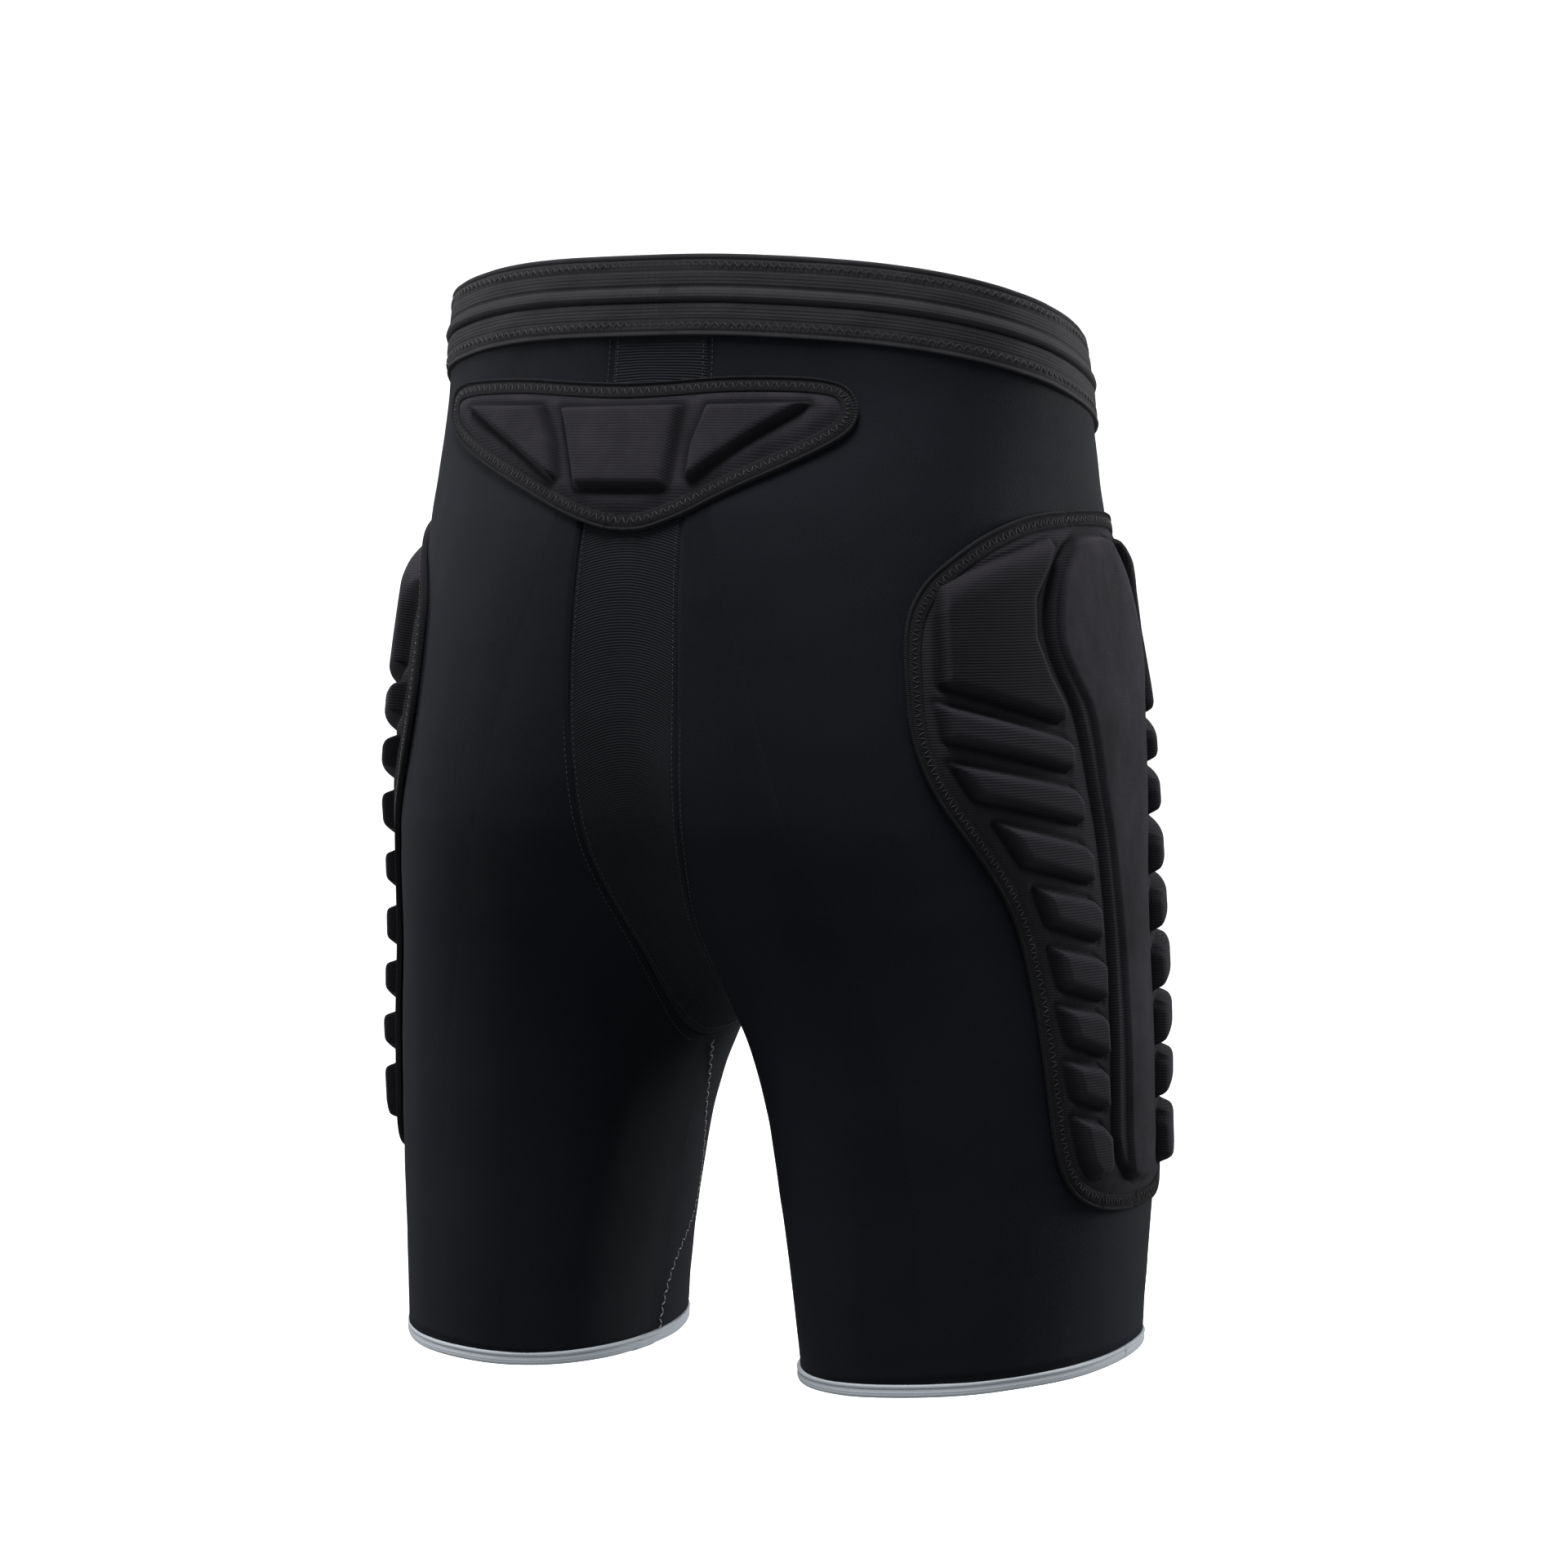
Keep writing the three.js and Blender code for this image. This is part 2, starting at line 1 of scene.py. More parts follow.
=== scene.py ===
"""Padded hip shorts in their worn form: a stretch shell with a ribbed gusset, a two-part waistband,
grey hem elastic, a moulded pad down each side and a small one at the back, in fine cloth detail.

Tables hold millimetres in the part's frame: +Z up, +X the wearer's left, +Y the wearer's back.
Blender's objects and the properties in the sidebar are in metres."""
import functools
import math

import bpy
import numpy as np
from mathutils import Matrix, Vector


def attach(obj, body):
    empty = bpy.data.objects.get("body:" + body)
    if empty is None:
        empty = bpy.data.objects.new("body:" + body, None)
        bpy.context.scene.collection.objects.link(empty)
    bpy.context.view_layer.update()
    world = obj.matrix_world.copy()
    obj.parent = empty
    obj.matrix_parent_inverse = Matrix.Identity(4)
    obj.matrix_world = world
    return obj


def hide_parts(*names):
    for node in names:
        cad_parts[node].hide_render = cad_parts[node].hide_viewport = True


bl_info = {
    "name": "Padded hip shorts",
    "version": (1, 0, 0),
    "blender": (4, 5, 0),
    "location": "View3D > Sidebar > Shorts",
    "description": "Builds padded compression shorts piece by piece on a fixed frame",
    "category": "Add Mesh",
}

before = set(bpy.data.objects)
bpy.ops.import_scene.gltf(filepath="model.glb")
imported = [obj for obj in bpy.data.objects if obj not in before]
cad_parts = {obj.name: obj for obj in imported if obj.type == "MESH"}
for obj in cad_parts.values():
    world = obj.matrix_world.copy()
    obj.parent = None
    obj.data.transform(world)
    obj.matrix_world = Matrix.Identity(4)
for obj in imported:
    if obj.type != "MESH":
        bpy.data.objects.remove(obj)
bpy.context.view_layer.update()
MM = 0.001
BODY = "root"
SIDES = {"left": 1, "right": -1}

# The worn form of the left half in level sections, as the part's solids have it:
# height, reach to the side, inner reach, back, front, centre, and the shear of its inner side.
SECTIONS = np.array([
    [40, 151, -145, 92, 114, 10, 0.00],
    [0, 154, -146, 94, 115, 10, 0.00],
    [-35, 157, -144, 101, 115, 7, 0.00],
    [-95, 161, -118, 132, 111, 0, 0.01],
    [-170, 171, -80, 145, 104, -5, 0.03],
    [-225, 175, -48, 141, 100, -3, 0.07],
    [-260, 178, -24, 126, 97, 1, 0.10],
    [-295, 181, 4, 108, 93, 5, 0.14],
    [-330, 184, 21, 95, 88, 9, 0.17],
    [-365, 185, 32, 88, 86, 12, 0.21],
    [-395, 186, 37, 84, 84, 13, 0.24],
    [-435, 184, 43, 82, 82, 14, 0.25],
    [-475, 182, 47, 80, 80, 14, 0.25],
    [-515, 179, 50, 79, 79, 14, 0.25],
])
# How widely the sections are rounded towards the mid-plane, and the power of their ovals.
CROTCH_ROUND = 16
SECTION_POWER = 2.2
# The rise of the waist over the way to the back, and the depth of the shell's top below its edge.
WAIST_TILT = 0.275
SHELL_TOP = 36
# The hem's upper edge: its height at the leg's centre, and its slopes over the depth and the width.
HEM = {"z": -473, "rake": 0.08, "slant": 0.014, "centre_x": 114, "centre_y": 18}

# Half width of the gusset at each height.
GUSSET = np.array([[0, 24], [-95, 26], [-170, 28], [-235, 25], [-280, 18], [-340, 16]], float)

# Waistband and hem profiles: depth below the upper edge and lift off the body.
UPPER_BAND = np.array([
    [0, 0.1], [0.3, 0.9], [1.1, 1.4], [1.9, 1.3], [2.6, 0.9], [3.2, 1.2], [5.5, 1.4], [8.2, 1.3],
    [8.9, 1.6], [13.8, 1.7], [14.8, 1.3], [15.6, 1.5], [16.8, 2.4], [18.2, 3.0], [19.6, 3.2], [20.8, 2.8],
    [21.6, 1.8], [22, 0.6],
])
LOWER_BAND = np.array([
    [22.2, 0.6], [22.6, 1.5], [23.6, 2.0], [29, 2.1], [30, 1.9], [34.6, 1.9], [35.4, 1.6], [36, 1.9],
    [36.6, 2.1], [37.2, 2.0], [37.5, 1.2],
])
# The inside of each band: depth, and reach inside the body form as a share of the whole. The upper
# one ends in a tongue that lies behind the lower.
UPPER_LAP = np.array([[22, 0.2], [25, 0.0], [25, -1], [0, -1]])
LOWER_LAP = np.array([[37.5, -1], [25.6, -1], [25.6, 0.3], [22.2, 0.4]])
# The depths between which each band is ribbed, and how softly its ribs begin and end.
UPPER_RIBS = (8.9, 13.8)
LOWER_RIBS = (23.2, 29.6)
RIB_FADE = 0.8
HEM_BAND = np.array([
    [0, 0.1], [0.3, 0.8], [0.9, 1.1], [1.5, 0.9], [1.9, 0.2], [2.3, 0.7], [3.4, 1.0], [4.8, 1.0],
    [5.7, 0.7], [6, 0.0],
])
HEM_INSIDE = -1.6
# Where the hem's ends overlap at the inner leg, in degrees that rake with the depth.
HEM_LAP = {"start": 172, "length": 11, "rake": 0.9, "ends": 1.2, "rise": 0.8}
# The spacing of places across a band, and the lengths that the weave counts round each band.
PROFILE_STEP = 0.25
WAIST_ROUND = 900
HEM_ROUND = 480

# How far the side pads' centre lines lie behind the side line.
SIDE_PAD_CENTRE = 4
# How the left pad is sewn against the right one: height, then how much further forward and up.
LEFT_PAD_SHIFT = np.array([[-180, 0, 6], [-80, 4, -2]], float)
# Side pad: outline from the top down, as distance from the pad's centre line and height.
SIDE_PAD_EDGE = np.array([
    [34, -93], [66, -102], [88, -114], [103, -124], [115, -140], [121, -172], [121, -190], [116, -206],
    [107, -221], [93, -238], [80, -255], [70, -274], [61, -305], [54, -340], [49, -374], [45, -387],
    [36, -395], [19, -400],
], float)
# The spine's lower step and the plateau on it: height and half width.
LEDGE = np.array([
    [-100, 18], [-112, 32], [-127, 43], [-144, 48], [-160, 45], [-174, 37], [-190, 33], [-215, 28],
    [-241, 23], [-267, 20], [-300, 19], [-340, 19], [-392, 19],
], float)
PLATEAU = np.array([
    [-98, 14], [-103, 18], [-116, 31], [-128, 38], [-144, 43], [-156, 41], [-167, 35], [-176, 29],
    [-191, 26], [-215, 23], [-241, 18], [-267, 15], [-301, 13], [-340, 12], [-386, 12], [-391, 10],
], float)
# The hip block's corners on the pad's rear half: distance from the centre line and height.
HIP_BLOCK = [
    (34, -101), (49, -105), (67, -110), (85, -116), (101, -122), (105, -133), (108, -148), (111, -165),
    (80, -174), (47, -183), (45, -177), (53, -161), (57, -145), (53, -128), (39, -112), (32, -104),
]
# The side of the hip block's upper edge on which it stands full height, past a broad slant.
HIP_BLOCK_BELOW_SLANT = [
    (30, -100), (49, -105), (67, -110), (85, -116), (103, -122), (150, -150), (150, -420),
    (-150, -420), (-150, -100),
]
# The side of its outer edge on which it stands full height, past a sloping wall.
HIP_BLOCK_WITHIN_WALL = [
    (98, -60), (102, -122), (106, -133), (109, -148), (112, -163), (112, -420), (-150, -420),
    (-150, -60),
]
# Each bar's corners: upper outer, upper inner, its inner shoulder, lower inner, lower outer.
THIGH_BARS = [
    [(114, -173), (47, -190), (43, -194), (44, -205), (112, -189)],
    [(111, -199), (45, -212), (39, -218), (39, -229), (100, -215)],
    [(91, -226), (40, -238), (34, -243), (33, -256), (76, -245)],
    [(69, -256), (35, -263), (29, -268), (29, -282), (62, -272)],
    [(60, -283), (33, -289), (27, -293), (27, -309), (54, -301)],
    [(55, -310), (32, -314), (27, -318), (26, -334), (49, -326)],
    [(51, -335), (32, -338), (27, -342), (26, -358), (46, -351)],
    [(46, -360), (31, -364), (25, -370), (25, -385), (29, -388), (36, -388), (41, -381)],
]

# Back pad: its lean towards the wearer's left, its outline as distance from its centre line, upper
# height and lower height, and its blocks.
BACK_PAD_LEAN = {"top_z": -30, "top_shift": 18, "low_z": -98, "low_shift": 2}
BACK_PAD_EDGE = np.array([
    [0, -36, -93], [24, -35, -87], [52, -33, -74], [78, -33, -63], [96, -34, -54], [105, -37, -47],
], float)
CENTRE_BLOCK = [(-31, -42), (31, -43), (23, -79), (-23, -79)]
WING_BLOCK = [(44, -42), (90, -41), (60, -59), (36, -75), (34, -73), (36, -60)]
# How far the back pad's cloth is brushed smooth, where 1 is the side pads' spine.
BACK_PAD_NAP = 0.6

# How the pads' forms rise: the distances inside an outline at which each begins and is whole.
RISES = {
    "base": (-0.5, 7.5), "inside_tape": (1.5, 6), "beside_tape": (12, 4), "beside_hip": (-30, -2),
    "block_wall": (-0.7, 1.1), "ledge": (-0.8, 1.6), "plateau": (-0.8, 2.2),
    "plateau_crown": (0, 12), "nap": (-0.5, 2), "slant": (-2, 10), "hip_wall": (0.8, 4.0),
    "hip_face": (0.5, 5), "hip_face_within_wall": (4, 6),
}
# What is left of a form where its rise hasn't begun, as a share of the whole; for the painted shade, what
# is left of it at the tape.
REMAINS = {"base": 0.38, "slant": 0.5, "hip_wall": 0.1, "shading_at_tape": 0.3}
# How much shade is painted into the pad cloth's colour at each place: the hip block's face and wall,
# the foot of the plateau, and how much less so beside the tape at the hip. The painted shade on the
# wall has its own place and width.
PAINTED_SHADING = {"hip_face": 0.72, "hip_wall": 0.9, "plateau_foot": 0.7, "beside_tape": -0.7}
HIP_WALL_SHADING = {"depth": 1.8, "width": 1.5}
# The share of the plateau's height that lies in its step, the rest being its crown.
PLATEAU_STEP = 0.75
# How deep the foam is pressed in at the foot of its blocks.
SIDE_PAD_PRESSED = 1.1
BACK_PAD_PRESSED = 0.9
# How much higher the back pad's base is, and the lift of the pads' undersides off the body form.
BACK_PAD_EXTRA_BASE = 0.3
PAD_UNDERSIDE = 0.9

# The tape's profile: distance outwards from the pad's edge and lift off the shell, from the inner
# fold over the stitched middle and the corded outer edge, and back beneath.
TAPE = np.array([
    [-1.5, 2.0], [-1.8, 2.2], [-1.75, 2.6], [-1.3, 2.9], [-0.6, 2.95], [0.2, 2.9], [1.2, 2.85],
    [2.4, 2.75], [3.3, 2.65], [3.7, 2.3], [4.0, 2.25], [4.3, 2.7], [4.7, 3.15], [5.1, 3.15],
    [5.4, 2.75], [5.6, 2.0], [5.5, 0.8], [5.2, 0.4], [0.6, 0.4], [0.5, 1.9],
])
# The spacing of places along a tape.
TAPE_STEP = 1.7
# The line that the tape's stitches follow: distance outwards from the pad's edge, and lift.
TAPE_SEAM = (1.1, 3.0)
# Where a tape's ends overlap in a fold, as layout places, and the form of such a fold.
SIDE_TAPE_JOINTS = [(12.0, -90.0), (-4.0, -403.0)]
BACK_TAPE_JOINTS = [(0.0, -95.0)]
FOLD = {
    "reach": 2.4, "dip": 0.5, "dip_at": 4.6, "dip_reach": 1.2, "widening": 0.18, "rise": 1.5,
    "risen_part": (2.1, 2.7),
}

# The inner leg seam, from the crotch to the hem: height and degrees it has swung to the front.
INSEAM = np.array([
    [-338, 0], [-365, 11], [-390, 20], [-408, 24], [-420, 23], [-429, 18], [-437, 12], [-446, 7],
    [-455, 4], [-465, 2], [-477, 1],
], float)

# Places across the gusset: its face, which ends a little short of the seam, then the tongues that
# the leg panels are sewn over, as distances past the seam.
GUSSET_SHARES = np.linspace(-1, 1, 29)
GUSSET_EDGE = 0.15
TONGUE = np.array([0.1, 1.4])
# How far a tongue lies inside the shell's wall, and its thickness.
TONGUE_DEPTH = 0.35
TONGUE_WALL = 0.8

# The heights between which a leg panel is at its widest, from the front seam to the back one.
HIP_LEVELS = (-50.0, -190.0)
# How the rows of a leg panel crowd towards its top, as a power.
ROW_CROWDING = 1.25
# Half the width of a seam's dip, and how far above and below its end at the crotch it fades.
SEAM_WIDTH = 1.3
CROTCH_FADE = 4

# Soft unevenness of the cloth: height, length, seed, and how much it varies along each axis.
RIPPLES = {
    "shell_broad": (1.0, 95, 3, (1, 1, 0.55)),
    "shell_fine": (0.3, 34, 5, (1, 1, 1)),
    "gusset": (0.2, 60, 8, (1, 0.7, 1)),
    "waist_broad": (0.35, 70, 11, (1, 1, 0.25)),
    "waist_fine": (0.12, 16, 12, (1, 1, 1)),
    "waist_wander": (0.35, 120, 13, (1, 1, 0)),
    "hem": (0.25, 45, 21, (1, 1, 1)),
    "hem_wander": (0.2, 60, 22, (1, 1, 1)),
}

# The waistband's rows of stitches: depth below its upper edge and lift off the body.
WAIST_STITCH_ROWS = [(5.0, 1.5), (32.4, 2.05)]
WAIST_STITCH_LENGTH = 0.0034
# The gusset's and the inseam's stitches: distance beside the seam and lift off the body, then their
# pitch and length in metres and their thickness over the common thread's.
GUSSET_STITCH = {"beside": 2.2, "lift": 0.25, "pitch": 0.0026, "length": 0.0019, "thickness": 0.8}
INSEAM_STITCH = {"lift": 0.3, "pitch": 0.0028, "length": 0.0038, "thickness": 1.6}
# How many places of the gusset's seams the waistband covers.
UNDER_WAISTBAND = 4
# How far each zigzag leans from its seam, in degrees.
LEAN = {"tape": 66, "waist": 58, "inseam": 50}

# The camera that fits the photograph's outline, in degrees and metres, with its lens in millimetres.
CAMERA = {"azimuth": 208.0, "elevation": 3.4, "distance": 2.5, "lens": 121.75, "sensor": 36.0, "near": 0.05}
AIM = Vector((-0.006, -0.003, -0.217))
# The soft lights: name, azimuth, elevation, width in metres and power. All stand at one distance.
LIGHTS = [
    ("key", 185, 72, 1.0, 62), ("right", 322, 12, 0.8, 36), ("left", 92, 15, 0.8, 20),
    ("front", 25, 35, 1.2, 22),
]
LIGHT_DISTANCE = 2.2
# The backdrop's profile in metres: distance from the middle and rise over the floor.
BACKDROP = np.array([[0.0, 0.0], [2.2, 0.0], [3.0, 0.1], [3.5, 0.45], [3.8, 1.1], [3.9, 9.0]])


class ShellSettings(bpy.types.PropertyGroup):
    """Stretch shell and gusset"""
    wall: bpy.props.FloatProperty(
        name="Wall", description="Thickness of the stretch cloth", default=0.0016, unit="LENGTH")
    seam_dip: bpy.props.FloatProperty(
        name="Seam dip", description="How deep the flat seams pull in", default=0.0007, unit="LENGTH")
    stretch: bpy.props.FloatProperty(
        name="Stretch", description="Width of the worn cloth over the width it is cut to", default=1.1)
    ripple: bpy.props.FloatProperty(
        name="Ripple", description="Height of the soft unevenness of the cloth", default=0.00045,
        unit="LENGTH")
    colour: bpy.props.FloatVectorProperty(
        name="Shell", description="Colour of the stretch cloth", subtype="COLOR",
        default=(0.0066, 0.0079, 0.0110))
    gusset_colour: bpy.props.FloatVectorProperty(
        name="Gusset", description="Colour of the ribbed gusset", subtype="COLOR",
        default=(0.0102, 0.0117, 0.0142))


class BandSettings(bpy.types.PropertyGroup):
    """Waistband and hem elastic"""
    rib_pitch: bpy.props.FloatProperty(
        name="Rib pitch", description="Distance between the ribs of the elastic", default=0.0016,
        unit="LENGTH")
    rib_height: bpy.props.FloatProperty(
        name="Rib height", description="Height of the ribs", default=0.00006, unit="LENGTH")
    inside: bpy.props.FloatProperty(
        name="Inside", description="How far the bands reach inside the body form", default=0.0012,
        unit="LENGTH")
    colour: bpy.props.FloatVectorProperty(
        name="Elastic", description="Colour of the waistband", subtype="COLOR",
        default=(0.0225, 0.0224, 0.0255))
    hem_colour: bpy.props.FloatVectorProperty(
        name="Hem", description="Colour of the hem elastic", subtype="COLOR",
        default=(0.46, 0.50, 0.54))


class PadSettings(bpy.types.PropertyGroup):
    """Moulded pads and their bindings"""
    base: bpy.props.FloatProperty(
        name="Base", description="Height of the foam base over the shell", default=0.0042, unit="LENGTH")
    block: bpy.props.FloatProperty(
        name="Blocks", description="Height of the blocks over the base", default=0.0062, unit="LENGTH")
    back_block: bpy.props.FloatProperty(
        name="Back blocks", description="Height of the back pad's blocks", default=0.0050, unit="LENGTH")
    ledge: bpy.props.FloatProperty(
        name="Ledge", description="Height of the spine's lower step", default=0.0026, unit="LENGTH")
    plateau: bpy.props.FloatProperty(
        name="Plateau", description="Height of the spine's upper step", default=0.0028, unit="LENGTH")
    tape: bpy.props.FloatProperty(
        name="Tape stitch", description="Width of the zigzag on the binding", default=0.0036, unit="LENGTH")
    colour: bpy.props.FloatVectorProperty(
        name="Pad cloth", description="Colour of the knit over the foam", subtype="COLOR",
        default=(0.0170, 0.0158, 0.0196))
    tape_colour: bpy.props.FloatVectorProperty(
        name="Binding", description="Colour of the binding tape", subtype="COLOR",
        default=(0.0128, 0.0130, 0.0150))


class StitchSettings(bpy.types.PropertyGroup):
    """Threads of the visible seams"""
    pitch: bpy.props.FloatProperty(
        name="Pitch", description="Distance between zigzag stitches", default=0.0021, unit="LENGTH")
    thread: bpy.props.FloatProperty(
        name="Thread", description="Radius of the thread", default=0.00024, unit="LENGTH")
    dark: bpy.props.FloatVectorProperty(
        name="Dark thread", description="Colour of the black thread", subtype="COLOR",
        default=(0.0125, 0.0128, 0.0146))
    light: bpy.props.FloatVectorProperty(
        name="Light thread", description="Colour of the grey inseam thread", subtype="COLOR",
        default=(0.26, 0.27, 0.28))


class StageSettings(bpy.types.PropertyGroup):
    """Floor, backdrop and light"""
    floor: bpy.props.FloatProperty(
        name="Floor", description="Height of the floor below the hanging shorts", default=-0.66,
        unit="LENGTH")
    sky: bpy.props.FloatProperty(
        name="Sky", description="Strength of the even light all round", default=0.36, min=0.0)


# Numbers between table rows

def through(rows, z):
    """Smooth values between the rows of a table: a cubic whose slopes follow the neighbouring rows."""
    z = np.asarray(z, float)
    heights = rows[:, 0]
    values = rows[:, 1:]
    slopes = np.empty_like(values)
    slopes[1:-1] = (values[2:] - values[:-2]) / (heights[2:] - heights[:-2])[:, None]
    slopes[0] = (values[1] - values[0]) / (heights[1] - heights[0])
    slopes[-1] = (values[-1] - values[-2]) / (heights[-1] - heights[-2])
    upper = np.clip(np.searchsorted(-heights, -z, side="right") - 1, 0, len(heights) - 2)
    step = (heights[upper + 1] - heights[upper])[..., None]
    t = ((z - heights[upper])[..., None]) / step
    ends = (1 + 2 * t) * (1 - t) ** 2 * values[upper] + (3 - 2 * t) * t ** 2 * values[upper + 1]
    bends = t * (1 - t) ** 2 * slopes[upper] + (t - 1) * t ** 2 * slopes[upper + 1]
    return ends + bends * step


def smooth(value, low, high):
    """0 below low, 1 above high, and an even rise between."""
    t = np.clip((value - low) / (high - low), 0, 1)
    return t * t * (3 - 2 * t)


def signed_power(value, power):
    return np.sign(value) * np.abs(value) ** power


def eased(x):
    """The distance from the mid-plane that the sections are measured on. It rounds the crotch."""
    return np.hypot(x, CROTCH_ROUND)


def between(low, share):
    """From a low value, where the share is 0, to 1."""
    return low + (1 - low) * share


def bell(distance, width):
    """1 at no distance, falling to nothing past the width."""
    return np.exp(-(distance / width) ** 2)


def ripple(points, name):
    """Soft unevenness at places in millimetres, of about the named ripple's height to both sides."""
    height, length, seed, axes = RIPPLES[name]
    rng = np.random.default_rng(seed)
    places = points * axes
    total = np.zeros(points.shape[:-1])
    waves = 14
    for _ in range(waves):
        direction = rng.normal(size=3)
        direction /= np.linalg.norm(direction) * length * rng.uniform(0.6, 1.5)
        total += np.sin(2 * np.pi * (places @ direction) + rng.uniform(0, 2 * np.pi))
    return height * total / math.sqrt(waves)


# The body form

def section(z):
    outer, inner, back, front, centre, shear = np.moveaxis(through(SECTIONS, z), -1, 0)
    outer = eased(outer)
    return {
        "middle": (outer + inner) / 2, "half": (outer - inner) / 2, "inner": inner,
        "back": back, "front": front, "centre": centre, "shear": shear,
    }


def field(points):
    """How far outside the body form a place lies: 1 on it, growing outwards."""
    x, y, z = np.moveaxis(points, -1, 0)
    s = section(z)
    across = (eased(x) - s["middle"]) / s["half"]
    along = y - s["centre"] + s["shear"] * (eased(x) - s["middle"])
    depth = along / np.where(along >= 0, s["back"], s["front"])
    return np.abs(across) ** SECTION_POWER + np.abs(depth) ** SECTION_POWER


def outward(points):
    step = 0.5
    slope = [field(points + step * axis) - field(points - step * axis) for axis in np.eye(3)]
    normal = np.stack(slope, -1)
    return normal / np.linalg.norm(normal, axis=-1, keepdims=True)


def on_body(turn, z, lift=0.0):
    """Places on the left half at a turn about its section, 0 at the side and plus to the back."""
    turn, z = np.broadcast_arrays(np.asarray(turn, float), np.asarray(z, float))
    s = section(z)
    ease = s["middle"] + s["half"] * signed_power(np.cos(turn), 2 / SECTION_POWER)
    depth = signed_power(np.sin(turn), 2 / SECTION_POWER)
    x = np.sqrt(np.maximum(ease ** 2 - CROTCH_ROUND ** 2, 0))
    y = s["centre"] + np.where(depth >= 0, s["back"], s["front"]) * depth
    points = np.stack([x, y - s["shear"] * (ease - s["middle"]), z], -1)
    if np.ndim(lift) or lift:
        points = points + outward(points) * np.asarray(lift, float)[..., None]
    return points


def turn_at(z, x):
    """The turn at which the section reaches a distance from the mid-plane."""
    s = section(z)
    across = np.clip((eased(x) - s["middle"]) / s["half"], -1, 1)
    return np.arccos(signed_power(across, SECTION_POWER / 2))


ARC_TURNS = np.radians(np.arange(-140, 141))
ARC_HEIGHTS = np.arange(-440.0, 41.0, 2.0)


def arc_table():
    """Distances from the side line along the section, for a row of turns at each of many heights."""
    turns, heights = np.meshgrid(ARC_TURNS, ARC_HEIGHTS)
    lines = on_body(turns, heights)
    steps = np.linalg.norm(np.diff(lines, axis=1, prepend=lines[:, :1]), axis=2)
    arcs = np.cumsum(steps, axis=1)
    return arcs - arcs[:, [len(ARC_TURNS) // 2]]


ARCS = arc_table()


def turn_at_arc(distance, z):
    """The turn at a distance from the side line along the section."""
    distance, z = np.broadcast_arrays(np.asarray(distance, float), np.asarray(z, float))
    place = (z - ARC_HEIGHTS[0]) / (ARC_HEIGHTS[1] - ARC_HEIGHTS[0])
    row = np.clip(np.floor(place).astype(int), 0, len(ARC_HEIGHTS) - 2)
    share = place - row
    turns = np.zeros(distance.shape)
    for number in np.unique(row):
        here = row == number
        above = np.interp(distance[here], ARCS[number], ARC_TURNS)
        below = np.interp(distance[here], ARCS[number + 1], ARC_TURNS)
        turns[here] = above + (below - above) * share[here]
    return turns


def mirrored(points, side):
    """The same places on the wearer's left, side 1, or right, side -1."""
    return points * np.stack(np.broadcast_arrays(side, 1.0, 1.0), -1)


def inner_thigh_height(x):
    """The height at which the inner thighs stand a distance from the mid-plane."""
    heights = np.linspace(-515, 0, 2000)
    return np.interp(-eased(x), -section(heights)["inner"], heights)


def settled(start, rule, rounds=7):
    """A height that a rule works out from itself."""
    z = start
    for _ in range(rounds):
        z = rule(z)
    return z


def waist_height(turn_of, depth):
    start = -np.asarray(depth, float)
    return settled(start, lambda z: WAIST_TILT * on_body(turn_of(z), z)[..., 1] - depth)


def hem_height(turn):
    def rule(z):
        x, y = np.moveaxis(on_body(turn, z), -1, 0)[:2]
        return HEM["z"] - HEM["rake"] * (y - HEM["centre_y"]) + HEM["slant"] * (x - HEM["centre_x"])
    return settled(np.full(np.shape(turn), float(HEM["z"])), rule)


def gusset_half(z):
    return through(GUSSET, z)[..., 0]


def seam_heights(end, count):
    """Heights along the seam between gusset and panel, at the back, end 1, or the front, end -1."""
    start = waist_height(lambda z: end * turn_at(z, gusset_half(z)), SHELL_TOP)
    low = inner_thigh_height(GUSSET[-1, 1])
    share = (1 - np.cos(np.linspace(0, np.pi, count + 1))) / 2
    return start + (low - start) * share


# Meshes

def new_object(name, data):
    obj = bpy.data.objects.new(name, data)
    bpy.context.scene.collection.objects.link(obj)
    return obj


def mesh_object(name, points, faces, uv=None):
    """An object from places in millimetres. uv holds the cloth's own millimetres for each vertex."""
    mesh = bpy.data.meshes.new(name)
    mesh.from_pydata((np.reshape(points, (-1, 3)) * MM).tolist(), [], faces)
    if uv is not None:
        layer = mesh.uv_layers.new(name="cloth")
        corners = np.empty(len(mesh.loops), dtype=np.int32)
        mesh.loops.foreach_get("vertex_index", corners)
        layer.data.foreach_set("uv", np.reshape(uv, (-1, 2))[corners].ravel())
    mesh.shade_smooth()
    return new_object(name, mesh)


def faces_out(points, faces):
    """Whether the quads of a closed mesh face outwards."""
    a, b, c, d = np.moveaxis(np.reshape(points, (-1, 3))[faces], 1, 0)
    return np.einsum("ij,ij->", a, np.cross(b, c) + np.cross(c, d)) > 0


def grid_faces(rows, columns, start=0, rows_close=False, columns_close=False):
    """The quads of a grid of places that is numbered row by row."""
    row = np.arange(rows if rows_close else rows - 1)[:, None]
    column = np.arange(columns if columns_close else columns - 1)
    after = (column + 1) % columns
    below = (row + 1) % rows * columns
    row = row * columns
    return start + np.stack([row + column, row + after, below + after, below + column], -1).reshape(-1, 4)


